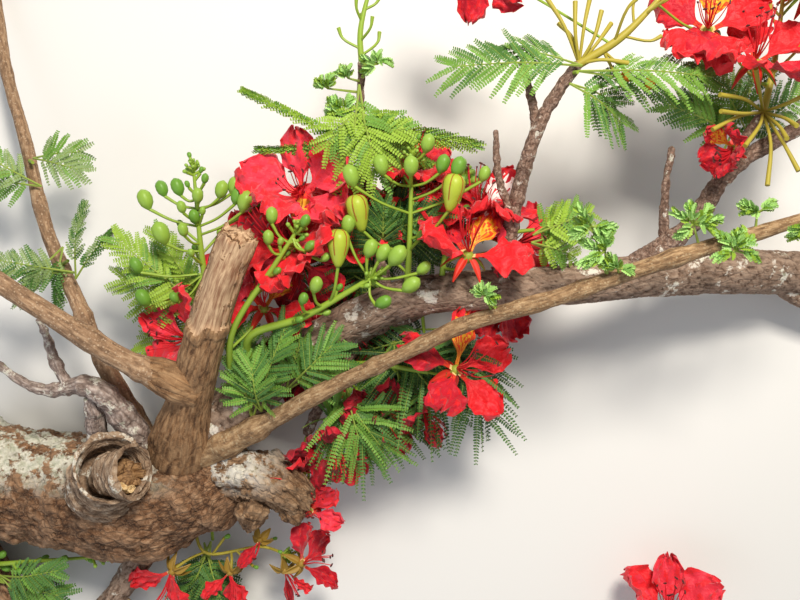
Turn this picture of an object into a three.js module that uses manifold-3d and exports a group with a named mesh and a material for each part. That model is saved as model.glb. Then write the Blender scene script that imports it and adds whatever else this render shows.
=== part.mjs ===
// A branch cut from a flame tree in flower. It lies on a level floor, and the routes below are as it is seen from
// above: X to the right, Y up in that view and Z the height over the floor, all in millimetres.
// A heavy main limb lies at the left. Boughs leave it, and carry twigs, racemes of buds, blooms and feathery leaves.
// Each piece stops a hair short of the piece that carries it, and a bud or leaflet blade that would touch another
// piece is left out.

import * as THREE from "three";
import Module from "manifold-3d";
import { ConvexGeometry } from "three/addons/geometries/ConvexGeometry.js";
import { mergeVertices } from "three/addons/utils/BufferGeometryUtils.js";

const wasm = await Module();
wasm.setup();

// Driving sizes
const SEAT_GAP = 0.35; // between a piece and what carries it
const CLEARANCE = 0.4; // least space round a bud, a petal or a leaf blade
const MIDDLE = [-3.5, -26.5]; // the middle of the branch, as its routes count
const FLOOR = -0.3; // the height of its lowest bark

const PETAL_LENGTH = 63;
const PETAL_WIDTH = 47;
const PETAL_THICKNESS = 1.6;
const SEPAL_LENGTH = 26;
const CUP_RADIUS = 5.5; // of the cup that the sepals and petals stand on
const CUP_DEPTH = 14;
const STAMEN_LENGTH = 52;
const STALK_RADIUS = 1.4; // of a bloom's or a bud's stalk

const BUD_RADIUS = 9; // of the largest round bud
const RIPE_BUD_LENGTH = 34;
const RIPE_BUD_RADIUS = 9.5;

const RACHIS_RADIUS = 1.5;
const PINNA_LENGTH = 48;
const PINNA_SPACING = 20; // along the rachis
const BARE_RACHIS = 0.22; // the share of it below its first pinnae

const finish = (name, color, roughness) =>
  new THREE.MeshStandardMaterial({ name, color, roughness, metalness: 0 });
const BARK = finish("bark", 0x7d6450, 0.95);
const YOUNG_BARK = finish("young_bark", 0x8a7150, 0.85);
const GREEN = finish("green_stem", 0x86a032, 0.5);
const LEAF = finish("leaf", 0x5f8a35, 0.6);
const PETAL = finish("petal", 0xd8161c, 0.5);

const GOLDEN_ANGLE = Math.PI * (3 - Math.sqrt(5));
const DOWN = new THREE.Vector3(0, 0, -1);
const UP = new THREE.Vector3(0, 0, 1);

const vector = ([x, y, z]) => new THREE.Vector3(x, y, z);
const radians = THREE.MathUtils.degToRad;
const lerp = THREE.MathUtils.lerp;

// A number from 0 to 1 that looks random and is the same in every run.
function chance(...keys) {
  const sum = keys.reduce((total, key, i) => total + key * (12.9898 + 65.3 * i), 0.5);
  const wave = Math.sin(sum) * 43758.5453;
  return wave - Math.floor(wave);
}

// Solids and geometries

function toSolid(geometry) {
  geometry.deleteAttribute("normal");
  geometry.deleteAttribute("uv");
  const merged = mergeVertices(geometry, 1e-4);
  return new wasm.Manifold(
    new wasm.Mesh({
      numProp: 3,
      vertProperties: merged.attributes.position.array,
      triVerts: new Uint32Array(merged.index.array),
    }),
  );
}

function toGeometry(solid) {
  const mesh = solid.getMesh();
  const positions = new Float32Array(mesh.numVert * 3);
  for (let i = 0; i < mesh.numVert; i++) {
    positions.set(mesh.vertProperties.subarray(i * mesh.numProp, i * mesh.numProp + 3), i * 3);
  }
  const geometry = new THREE.BufferGeometry();
  geometry.setAttribute("position", new THREE.BufferAttribute(positions, 3));
  geometry.setIndex(new THREE.BufferAttribute(new Uint32Array(mesh.triVerts), 1));
  geometry.computeVertexNormals();
  return geometry;
}

// Moves every vertex of a geometry to the place that the function gives for it.
function remap(geometry, place) {
  const position = geometry.attributes.position;
  const vertex = new THREE.Vector3();
  for (let i = 0; i < position.count; i++) {
    vertex.fromBufferAttribute(position, i);
    const moved = place(vertex);
    position.setXYZ(i, moved.x, moved.y, moved.z);
  }
  return geometry;
}

// The rings of a tube along a curve, each with a centre and two directions across, turned as little as can be.
function ringsAlong(curve, steps) {
  const first = curve.getTangent(0);
  let across = new THREE.Vector3().crossVectors(first, Math.abs(first.z) > 0.9 ? new THREE.Vector3(0, 1, 0) : UP);
  const rings = [];
  for (let i = 0; i <= steps; i++) {
    const along = curve.getTangent(i / steps);
    across = across.clone().addScaledVector(along, -across.dot(along)).normalize();
    const lift = new THREE.Vector3().crossVectors(along, across);
    rings.push({ centre: curve.getPoint(i / steps), along, across, lift });
  }
  return rings;
}

const curveOf = (route) => new THREE.CatmullRomCurve3(route.map(vector), false, "centripetal");

// A tapering limb or stem. Each point of its route is [x, y, z, radius], and a last radius of 0 makes a pointed end.
// A torn end has its rim pushed out and its middle sunk in, by torn and half of torn.
function tube(route, { sides = 8, perSpan = 2, grow = 0, torn = 0 } = {}) {
  const spans = route.length - 1;
  const steps = perSpan * spans;
  const rings = ringsAlong(curveOf(route), steps);
  const pointed = route[spans][3] === 0;
  const radiusAt = (t) => {
    const span = Math.min(Math.floor(t * spans), spans - 1);
    return lerp(route[span][3], route[span + 1][3], t * spans - span) + grow;
  };
  return toSolid(
    remap(new THREE.CylinderGeometry(pointed ? 0 : 1, 1, 1, sides, steps), (vertex) => {
      const t = vertex.y + 0.5;
      const step = Math.round(t * steps);
      const ring = rings[step];
      const size = pointed && step === steps ? 0 : radiusAt(t) / (pointed ? 1 - t : 1);
      const onRim = Math.hypot(vertex.x, vertex.z) > 0.5;
      const angle = Math.atan2(vertex.z, vertex.x);
      const tear = step === steps ? torn * (onRim ? Math.sin(2 * angle + 1) : -0.5) : 0;
      const endPush = (step === steps ? grow : 0) - (step === 0 ? grow : 0);
      return ring.centre
        .clone()
        .addScaledVector(ring.across, vertex.x * size)
        .addScaledVector(ring.lift, -vertex.z * size)
        .addScaledVector(ring.along, tear + endPush);
    }),
  );
}

// A pointed blade of 8 faces, from its root along a direction, with its face turned to the normal.
function blade({ root, along, normal, length, width, thickness, grow = 0 }) {
  const direction = along.clone().normalize();
  const face = normal.clone().addScaledVector(direction, -normal.dot(direction)).normalize();
  const side = new THREE.Vector3().crossVectors(face, direction);
  const middle = root.clone().addScaledVector(direction, length / 2);
  return toSolid(
    remap(new THREE.OctahedronGeometry(1, 0), (vertex) =>
      middle
        .clone()
        .addScaledVector(side, vertex.x * (width / 2 + grow))
        .addScaledVector(face, vertex.y * (thickness / 2 + grow))
        .addScaledVector(direction, vertex.z * (length / 2 + grow)),
    ),
  );
}

// How far along a petal, and how wide there, as shares of its length and half width, from its claw to its tip.
const PETAL_OUTLINE = [
  [0, 0],
  [0.36, 0.16],
  [0.66, 1],
  [0.92, 0.72],
  [1, 0],
];
const PETAL_POINTS = 8; // round the outline
const PETAL_MIDDLE = 0.64; // where its thickest point lies, as a share of its length
const PETAL_CURL = 0.16; // how far the tip bends back, as a share of the length
const PETAL_WAVE = 0.09; // how far the margin waves, as a share of the length

// A petal: a narrow claw that widens to a round blade with a waved margin.
function petal({ root, along, normal, length, width, wave, grow = 0 }) {
  const direction = along.clone().normalize();
  const face = normal.clone().addScaledVector(direction, -normal.dot(direction)).normalize();
  const side = new THREE.Vector3().crossVectors(face, direction);
  return toSolid(
    remap(new THREE.SphereGeometry(1, PETAL_POINTS, 2), (vertex) => {
      const onRim = Math.abs(vertex.y) < 0.5;
      const row = Math.round((Math.asin(THREE.MathUtils.clamp(vertex.z, -1, 1)) / Math.PI + 0.5) * 4);
      const [share, half] = onRim ? PETAL_OUTLINE[row] : [PETAL_MIDDLE, 0];
      const turn = Math.sign(Math.round(vertex.x * 1000));
      const sway = onRim && half > 0.5 ? PETAL_WAVE * length * Math.sin(wave + 2 * row + 2.5 * turn) : 0;
      const bend = -PETAL_CURL * length * share * share + sway;
      const thick = onRim ? 0 : Math.sign(vertex.y) * (PETAL_THICKNESS / 2 + grow);
      return root
        .clone()
        .addScaledVector(direction, share * (length + grow))
        .addScaledVector(side, turn * (half * (width / 2) + (half > 0 ? grow : 0)))
        .addScaledVector(face, bend + thick);
    }),
  );
}

// A calyx: five pointed sepals, bent back, on a short cup behind the throat of a bloom, as one star of 20 faces.
function calyx({ centre, axis, first, scale, reflex, sepal = SEPAL_LENGTH, grow = 0 }) {
  const second = new THREE.Vector3().crossVectors(axis, first);
  return toSolid(
    remap(new THREE.SphereGeometry(1, 10, 2), (vertex) => {
      const angle = Math.atan2(vertex.z, -vertex.x);
      const onRim = Math.abs(vertex.y) < 0.5;
      const isTip = Math.round((angle * 5) / Math.PI) % 2 !== 0;
      const tip = [sepal * Math.cos(reflex), CUP_RADIUS + sepal * Math.sin(reflex)];
      const rim = isTip ? tip : [CUP_RADIUS, CUP_RADIUS];
      const [radius, back] = onRim ? rim : [0, vertex.y > 0 ? 1 : CUP_DEPTH];
      const out = radius * scale + (onRim ? grow : 0);
      const push = onRim ? 0 : Math.sign(vertex.y) * grow;
      return centre
        .clone()
        .addScaledVector(first, -Math.cos(angle) * out)
        .addScaledVector(second, -Math.sin(angle) * out)
        .addScaledVector(axis, push - back * scale);
    }),
  );
}

// A bud on its stalk, from a point on the stem to the tip of the bud.
function budRoute({ start, knee, foot, way, length, radius }) {
  const at = (share) => foot.clone().addScaledVector(way, length * share);
  return [
    [...start, STALK_RADIUS],
    ...(knee ? [[...knee, STALK_RADIUS]] : []),
    [...foot, STALK_RADIUS * 1.2],
    [...at(0.3), radius],
    [...at(0.72), radius * 0.82],
    [...at(1), 0],
  ];
}

// The plant as it grows: every part belongs to one named node, and keeps clear of the parts that other nodes have.

const nodes = new Map(); // name to { material, parts }
const leftOut = {}; // how many parts of a node would have touched another

function startNode(name, material) {
  nodes.set(name, { material, parts: [] });
  leftOut[name] = 0;
}

const boxesMeet = (a, b) => a.min.every((low, i) => low <= b.max[i] && b.min[i] <= a.max[i]);

function partsNear(owner, box) {
  const near = [];
  for (const [name, node] of nodes) {
    if (name !== owner) near.push(...node.parts.filter((part) => boxesMeet(box, part.box)));
  }
  return near;
}

function isClear(owner, grown) {
  return partsNear(owner, grown.boundingBox()).every((part) => grown.intersect(part.solid).isEmpty());
}

function addPart(owner, solid, shape) {
  nodes.get(owner).parts.push({ solid, box: solid.boundingBox(), shape });
}

// Adds parts that belong together, if all of them are clear of the other nodes. A shape is a function that gives
// the solid when it is grown all round by so much.
function addIfClear(owner, ...shapes) {
  const clear = shapes.every((shape) => isClear(owner, shape(CLEARANCE)));
  if (clear) shapes.forEach((shape) => addPart(owner, shape(0), shape));
  else leftOut[owner] += shapes.length;
  return clear;
}

const larger = (a, b) => (b.volume() > a.volume() ? b : a);
const largestBody = (solid) => solid.decompose().reduce(larger);

// Adds a part that stands on others, cut back to a hair's breadth from them.
function addSeated(owner, shape) {
  const solid = shape(0);
  const hollows = partsNear(owner, shape(SEAT_GAP).boundingBox()).map((part) => part.shape(SEAT_GAP));
  addPart(owner, hollows.length ? largestBody(solid.subtract(wasm.Manifold.union(hollows))) : solid, shape);
}

// Wood. Each route runs from the foot to the tip, and the height of its middle over the floor is a little more
// than its radius where it lies on the floor. The first route of a piece is its main one.

const curves = {}; // the main curve of each limb and stem, by name

function limb(name, material, options, ...routes) {
  startNode(name, material);
  curves[name] = curveOf(routes[0]);
  routes.forEach((route) => addSeated(name, (grow) => tube(route, { ...options, grow })));
}

// A point on the middle line of a limb or stem, at a share of the way along it.
const pointOn = (name, share) => curves[name].getPoint(share);

const HOLLOW_WALL = 8; // of the rotted stub
const HOLLOW_DEPTH = 0.45; // the share of its length that is hollow

// The stub of a bough that has rotted out: a short pipe of bark with a hollow end.
function hollowStub(foot, rim) {
  startNode("hollow_stub", BARK);
  const onAxis = (share) => foot.map((value, i) => lerp(value, rim[i], share));
  const bore = [onAxis(1 - HOLLOW_DEPTH), onAxis(1.2)].map(([x, y, z, radius]) => [x, y, z, radius - HOLLOW_WALL]);
  addSeated("hollow_stub", (grow) => {
    const stub = tube([foot, rim], { sides: 12, perSpan: 2, grow });
    return grow > 0 ? stub : stub.subtract(tube(bore, { sides: 10, perSpan: 1 }));
  });
}

limb(
  "main_limb",
  BARK,
  { sides: 14, perSpan: 2 },
  [
    [-524, -179, 62, 62],
    [-393, -205, 58, 57],
    [-285, -216, 66, 66],
    [-196, -196, 68, 50],
    [-168, -188, 76, 32],
  ],
);
hollowStub([-336, -196, 90, 36], [-261, -167, 162, 29]);
limb(
  "torn_stub",
  BARK,
  { sides: 10, perSpan: 2, torn: 9 },
  [
    [-200, -191, 84, 24],
    [-150, -193, 99, 27],
    [-102, -203, 106, 20],
  ],
);
limb(
  "upright_stub",
  BARK,
  { sides: 10, torn: 3 },
  [
    [-240, -178, 78, 40],
    [-228, -142, 107, 31],
    [-215, -105, 134, 22],
    [-171, 11, 196, 18.5],
    [-141, 72, 225, 18],
  ],
);
limb(
  "right_limb",
  BARK,
  { sides: 10 },
  [
    [-214, -156, 86, 34],
    [-115, -65, 112, 21],
    [0, -1, 134, 20],
    [152, 14, 136, 19.5],
    [321, 30, 90, 23],
    [522, 28, 25, 24],
  ],
  [
    [403, 31, 60, 10],
    [440, 4, 52, 9],
    [478, -12, 46, 8],
  ],
);
limb(
  "front_bough",
  YOUNG_BARK,
  { sides: 7 },
  [
    [-222, -168, 92, 18],
    [-128, -121, 138, 9.5],
    [-2, -52, 180, 7],
    [103, -10, 208, 7.8],
    [261, 41, 234, 7.4],
    [420, 91, 226, 5],
  ],
);
limb(
  "left_bough",
  YOUNG_BARK,
  { sides: 8 },
  [
    [-205, -93, 148, 19],
    [-262, -64, 169, 11],
    [-338, -13, 184, 10],
    [-434, 50, 190, 8.5],
  ],
);
limb(
  "rising_bough",
  YOUNG_BARK,
  { sides: 7 },
  [
    [-262, -166, 88, 12],
    [-313, -51, 118, 8.5],
    [-364, 50, 98, 7.5],
    [-430, 215, 48, 6.5],
    [-478, 388, 6, 5.5],
  ],
);
limb(
  "lower_bough",
  BARK,
  { sides: 8 },
  [
    [-262, -236, 50, 18],
    [-306, -312, 42, 13],
    [-368, -388, 13, 12.5],
  ],
);
limb(
  "lower_side_bough",
  YOUNG_BARK,
  { sides: 6 },
  [
    [-325, -337, 36, 9],
    [-220, -404, 40, 7],
    [0, -438, 24, 6],
    [290, -398, 5.5, 5],
  ],
);
limb(
  "lower_left_stub",
  BARK,
  { sides: 9 },
  [
    [-520, -200, 56, 30],
    [-472, -312, 30, 27],
    [-436, -356, 24, 24],
  ],
);
limb(
  "dead_twigs",
  BARK,
  { sides: 6, perSpan: 1 },
  [
    [-266, -158, 96, 11],
    [-308, -93, 136, 9.5],
    [-360, -91, 137, 5],
    [-431, -51, 132, 2.2],
  ],
  [
    [-316, -164, 92, 11],
    [-316, -96, 134, 7],
  ],
  [
    [-335, -89, 137, 5],
    [-357, -50, 133, 4],
    [-369, -19, 136, 2.6],
  ],
);
limb(
  "under_twig",
  BARK,
  { sides: 6 },
  [
    [33, -4, 130, 9],
    [-37, -38, 106, 6.5],
    [-72, -86, 100, 6.5],
    [-102, -147, 78, 5],
  ],
);
limb(
  "crotch_twig",
  BARK,
  { sides: 6 },
  [
    [-136, -76, 106, 8],
    [-166, -40, 104, 7],
    [-202, 2, 112, 6],
  ],
);
limb(
  "centre_twig",
  BARK,
  { sides: 6 },
  [
    [-12, 0, 134, 7],
    [-28, 80, 144, 4.6],
    [-39, 190, 150, 3.8],
    [-38, 238, 156, 3.4],
  ],
);
limb(
  "upper_left_bough",
  BARK,
  { sides: 6, perSpan: 1 },
  [
    [101, 14, 140, 9],
    [113, 85, 166, 7.4],
    [132, 168, 184, 6.4],
    [169, 225, 198, 5.2],
  ],
  [
    [131, 163, 183, 4.6],
    [127, 199, 179, 3.8],
    [118, 234, 180, 2.8],
  ],
  [
    [111, 80, 165, 4.4],
    [98, 117, 176, 3.4],
    [92, 164, 182, 2.6],
  ],
);
limb(
  "upper_right_bough",
  BARK,
  { sides: 6, perSpan: 1 },
  [
    [228, 20, 116, 12],
    [291, 74, 142, 9],
    [320, 124, 165, 8.4],
    [420, 184, 174, 6.4],
  ],
  [
    [324, 127, 166, 6],
    [351, 181, 180, 4.6],
  ],
  [
    [269, 62, 132, 4.6],
    [268, 124, 149, 3.4],
    [270, 153, 156, 3.2],
  ],
);

// Stems of the racemes, as routes like those of the wood
const STEMS = {
  raceme_left: [
    [-200, -4, 112, 3.6],
    [-204, 50, 127, 3],
    [-210, 139, 138, 1.4],
  ],
  raceme_centre: [
    [5, 2, 138, 3.4],
    [8, 30, 166, 3.2],
    [12, 148, 184, 1.5],
  ],
  raceme_front: [
    [-146, -92, 108, 4.2],
    [-150, -38, 156, 4.2],
    [-93, -16, 176, 3.6],
    [-17, 27, 192, 2.2],
  ],
  raceme_mid_left: [
    [-172, -114, 102, 3.6],
    [-164, -34, 172, 3.2],
    [-119, 33, 194, 2.6],
    [-94, 70, 200, 1.6],
  ],
  raceme_right: [
    [41, 6, 138, 3.2],
    [44, 38, 148, 3],
    [68, 131, 132, 1.6],
  ],
  raceme_under: [
    [-62, -68, 104, 3],
    [-31, -66, 118, 2.8],
    [29, -74, 130, 2.4],
  ],
  raceme_top: [
    [-38, 232, 155, 3.2],
    [-39, 267, 160, 2.8],
    [-24, 325, 165, 1.4],
  ],
  raceme_tip_left: [
    [166, 221, 197, 4.4],
    [206, 245, 206, 3.8],
    [246, 285, 210, 2],
  ],
  raceme_tip_right: [
    [350, 178, 179, 4],
    [361, 223, 178, 3.2],
    [372, 309, 180, 1.6],
  ],
  raceme_bottom: [
    [-232, -236, 48, 3],
    [-219, -281, 50, 3],
    [-152, -272, 62, 2.6],
    [-122, -280, 66, 2.2],
  ],
  raceme_low_left: [
    [-484, -304, 34, 3],
    [-446, -292, 60, 2.8],
    [-319, -280, 70, 1.5],
  ],
};

for (const [name, route] of Object.entries(STEMS)) limb(name, GREEN, { sides: 5 }, route);

// Blooms

const PETALS = 5;

// One bloom on its stalk. face is the way that it looks, roll the angle of its upright petal, counted from X, and
// open the angle between its axis and its petals. Its stalk comes from a share of the way along its carrier.
function bloomParts(owner, { on, at, throat, face, roll, open, scale = 1, seed }) {
  const axis = vector(face).normalize();
  const upright = new THREE.Vector3(Math.cos(radians(roll)), Math.sin(radians(roll)), 0);
  const first = upright.addScaledVector(axis, -upright.dot(axis)).normalize();
  const second = new THREE.Vector3().crossVectors(axis, first);
  const centre = vector(throat);
  const root = pointOn(on, at);
  const foot = centre.clone().addScaledVector(axis, (4 - CUP_DEPTH) * scale);
  const knee = root.clone().lerp(foot, 0.55).addScaledVector(axis, -6 * scale);
  const stalk = [
    [...root, STALK_RADIUS],
    [...knee, STALK_RADIUS],
    [...foot, STALK_RADIUS * 1.5],
  ];
  addSeated(owner, (grow) => tube(stalk, { sides: 4, perSpan: 1, grow }));

  const radial = (turn) => first.clone().multiplyScalar(Math.cos(turn)).addScaledVector(second, Math.sin(turn));
  const lean = (out, angle) => axis.clone().multiplyScalar(Math.cos(angle)).addScaledVector(out, Math.sin(angle));
  const reflex = radians(open - 25);
  const star = { centre, axis, first, scale, reflex };
  if (!addIfClear(owner, (grow) => calyx({ ...star, grow }))) {
    addSeated(owner, (grow) => calyx({ ...star, sepal: CUP_RADIUS, grow }));
  }
  for (let i = 0; i < PETALS; i++) {
    const out = radial((i * 2 * Math.PI) / PETALS);
    const angle = radians(i === 0 ? open * 0.75 : open * lerp(0.85, 1.15, chance(seed, i, 3)));
    const size = scale * lerp(0.9, 1.08, chance(seed, i, 4));
    const shape = (grow) =>
      petal({
        root: centre.clone().addScaledVector(axis, -5 * scale).addScaledVector(out, 2.6 * scale),
        along: lean(out, angle),
        normal: lean(out, angle - Math.PI / 2),
        length: PETAL_LENGTH * size,
        width: PETAL_WIDTH * size * (i === 0 ? 0.8 : 1),
        wave: 6 * chance(seed, i, 5),
        grow,
      });
    addIfClear(owner, shape);
  }
  const stamens = (grow) =>
    blade({
      root: centre.clone().addScaledVector(axis, -3),
      along: axis.clone().addScaledVector(first, -0.2),
      normal: first,
      length: STAMEN_LENGTH * scale,
      width: 7 * scale,
      thickness: 3,
      grow,
    });
  addIfClear(owner, stamens);
}

const BLOOMS = {
  bloom_top_left: {
    on: "raceme_mid_left",
    at: 0.72,
    throat: [-109, 54, 168],
    face: [-0.45, 0.65, 0.6],
    roll: 80,
    open: 60,
  },
  bloom_top: { on: "centre_twig", at: 0.25, throat: [-98, 108, 152], face: [-0.1, 0.4, 0.9], roll: 95, open: 55 },
  bloom_behind: {
    on: "raceme_mid_left",
    at: 0.27,
    throat: [-136, -6, 146],
    face: [0.2, 0.6, 0.75],
    roll: 60,
    open: 65,
    scale: 0.85,
  },
  bloom_left: { on: "crotch_twig", at: 0.8, throat: [-222, -44, 122], face: [-0.75, 0.3, 0.6], roll: 150, open: 60 },
  bloom_centre: { on: "raceme_right", at: 0.42, throat: [66, 47, 184], face: [0.2, 0.62, 0.75], roll: 65, open: 66 },
  bloom_back: { on: "raceme_right", at: 0.7, throat: [82, 92, 138], face: [0.1, 0.8, 0.55], roll: 60, open: 55 },
  bloom_right: { on: "raceme_right", at: 0.52, throat: [118, 56, 108], face: [0.75, 0.25, 0.6], roll: 20, open: 65 },
  bloom_core: {
    on: "centre_twig",
    at: 0.3,
    throat: [-10, 112, 116],
    face: [0.15, 0.85, 0.5],
    roll: 90,
    open: 55,
    scale: 0.95,
  },
  bloom_lower_right: {
    on: "raceme_under",
    at: 0.98,
    throat: [58, -68, 152],
    face: [0.42, 0.38, 0.82],
    roll: 88,
    open: 66,
  },
  bloom_under_left: {
    on: "under_twig",
    at: 0.72,
    throat: [-72, -156, 106],
    face: [0.15, -0.65, 0.7],
    roll: 250,
    open: 60,
    scale: 0.75,
  },
  bloom_under_tip: {
    on: "under_twig",
    at: 0.98,
    throat: [-104, -190, 84],
    face: [-0.1, -0.9, 0.4],
    roll: 270,
    open: 55,
    scale: 0.8,
  },
  bloom_bottom_left: {
    on: "raceme_bottom",
    at: 0.34,
    throat: [-250, -298, 76],
    face: [-0.5, -0.6, 0.6],
    roll: 220,
    open: 62,
    scale: 0.8,
  },
  bloom_bottom: {
    on: "raceme_bottom",
    at: 0.5,
    throat: [-188, -312, 62],
    face: [-0.1, -0.8, 0.6],
    roll: 265,
    open: 58,
    scale: 0.75,
  },
  bloom_bottom_right: {
    on: "raceme_bottom",
    at: 0.98,
    throat: [-104, -286, 78],
    face: [0.85, 0.1, 0.5],
    roll: 20,
    open: 62,
    scale: 0.85,
  },
  bloom_tip_right: {
    on: "raceme_tip_right",
    at: 0.35,
    throat: [336, 228, 200],
    face: [-0.1, -0.1, 1],
    roll: 92,
    open: 74,
  },
  bloom_tip_middle: {
    on: "raceme_tip_left",
    at: 0.9,
    throat: [296, 262, 184],
    face: [-0.2, 0.5, 0.8],
    roll: 80,
    open: 66,
    scale: 0.9,
  },
  bloom_tip_left: {
    on: "raceme_tip_left",
    at: 0.4,
    throat: [76, 318, 182],
    face: [-0.2, -0.6, 0.75],
    roll: 260,
    open: 60,
    scale: 0.8,
  },
  bloom_far: {
    on: "lower_side_bough",
    at: 0.96,
    throat: [298, -348, 52],
    face: [-0.1, 0.85, 0.5],
    roll: 90,
    open: 46,
    scale: 1.05,
  },
};

Object.entries(BLOOMS).forEach(([name, settings], i) => {
  startNode(name, PETAL);
  bloomParts(name, { ...settings, seed: i + 1 });
});

// A half-hidden bloom that belongs to its raceme
bloomParts("raceme_under", {
  on: "raceme_under",
  at: 0.7,
  throat: [20, -128, 104],
  face: [0.3, -0.6, 0.7],
  roll: 300,
  open: 50,
  scale: 0.62,
  seed: 31,
});

// Buds

// Stalks in a spiral up a raceme's stem, shorter and closer to the stem towards its tip, where new buds are.
function stalks(name, { count, from, reach, seed }) {
  const rings = ringsAlong(curves[name], 40);
  return Array.from({ length: count }, (_, i) => {
    const share = lerp(from, 1, i / (count - 1));
    const { centre: start, along, across, lift } = rings[Math.round(share * 40)];
    const angle = i * GOLDEN_ANGLE + seed;
    const out = across.clone().multiplyScalar(Math.cos(angle)).addScaledVector(lift, Math.sin(angle));
    const way = out.clone().addScaledVector(along, lerp(0.5, 1.2, share)).normalize();
    const length = reach * lerp(1, 0.2, share) * lerp(0.75, 1.1, chance(seed, i, 1));
    return { i, share, start, along, way, foot: start.clone().addScaledVector(way, length) };
  });
}

function buds(name, { size = BUD_RADIUS, ...settings }) {
  for (const { i, share, start, along, way, foot } of stalks(name, settings)) {
    const radius = size * lerp(1, 0.45, share) * lerp(0.85, 1.1, chance(settings.seed, i, 2));
    const tip = way.clone().addScaledVector(along, 0.4).normalize();
    const route = budRoute({ start, foot, way: tip, length: radius * 2.3, radius });
    addIfClear(name, (grow) => tube(route, { sides: 5, perSpan: 1, grow }));
  }
}

// Stalks whose blooms have fallen
function bareStalks(name, settings) {
  for (const { start, foot, along, way } of stalks(name, settings)) {
    const end = foot.clone().addScaledVector(way, 4).addScaledVector(along, 8);
    const route = [[...start, STALK_RADIUS], [...foot, STALK_RADIUS], [...end, STALK_RADIUS * 1.3]];
    addIfClear(name, (grow) => tube(route, { sides: 3, perSpan: 1, grow }));
  }
}

// A full-grown bud, longer than the round ones, on a stalk that curves up from its raceme.
function ripeBud(name, at, foot, aim, scale = 1) {
  const way = vector(aim).normalize();
  const start = pointOn(name, at);
  const knee = start.clone().lerp(vector(foot), 0.6).addScaledVector(way, -8);
  const length = RIPE_BUD_LENGTH * scale;
  const route = budRoute({ start, knee, foot: vector(foot), way, length, radius: RIPE_BUD_RADIUS * scale });
  addIfClear(name, (grow) => tube(route, { sides: 6, perSpan: 1, grow }));
}

ripeBud("raceme_centre", 0.6, [-34, 62, 192], [-0.15, 0.95, 0.2]);
ripeBud("raceme_centre", 0.65, [43, 84, 206], [0.2, 0.95, 0.15]);
ripeBud("raceme_front", 0.78, [-58, 32, 206], [0.05, 0.97, 0.1]);
ripeBud("raceme_front", 0.95, [-8, 36, 198], [0.35, 0.9, 0.1], 0.62);
buds("raceme_left", { count: 15, from: 0.1, reach: 66, size: 10, seed: 2 });
buds("raceme_centre", { count: 9, from: 0.4, reach: 54, seed: 3 });
buds("raceme_front", { count: 6, from: 0.6, reach: 30, size: 7, seed: 4 });
buds("raceme_mid_left", { count: 7, from: 0.6, reach: 34, size: 7, seed: 5 });
buds("raceme_right", { count: 5, from: 0.75, reach: 30, seed: 6 });
bareStalks("raceme_top", { count: 11, from: 0.15, reach: 46, seed: 7 });
bareStalks("raceme_tip_left", { count: 9, from: 0.2, reach: 74, seed: 8 });
bareStalks("raceme_tip_right", { count: 9, from: 0.15, reach: 70, seed: 9 });
buds("raceme_tip_right", { count: 3, from: 0.6, reach: 60, size: 5, seed: 13 });
buds("raceme_bottom", { count: 4, from: 0.6, reach: 40, size: 4, seed: 10 });
buds("raceme_low_left", { count: 5, from: 0.5, reach: 18, size: 6.5, seed: 11 });

// Leaves

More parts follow.
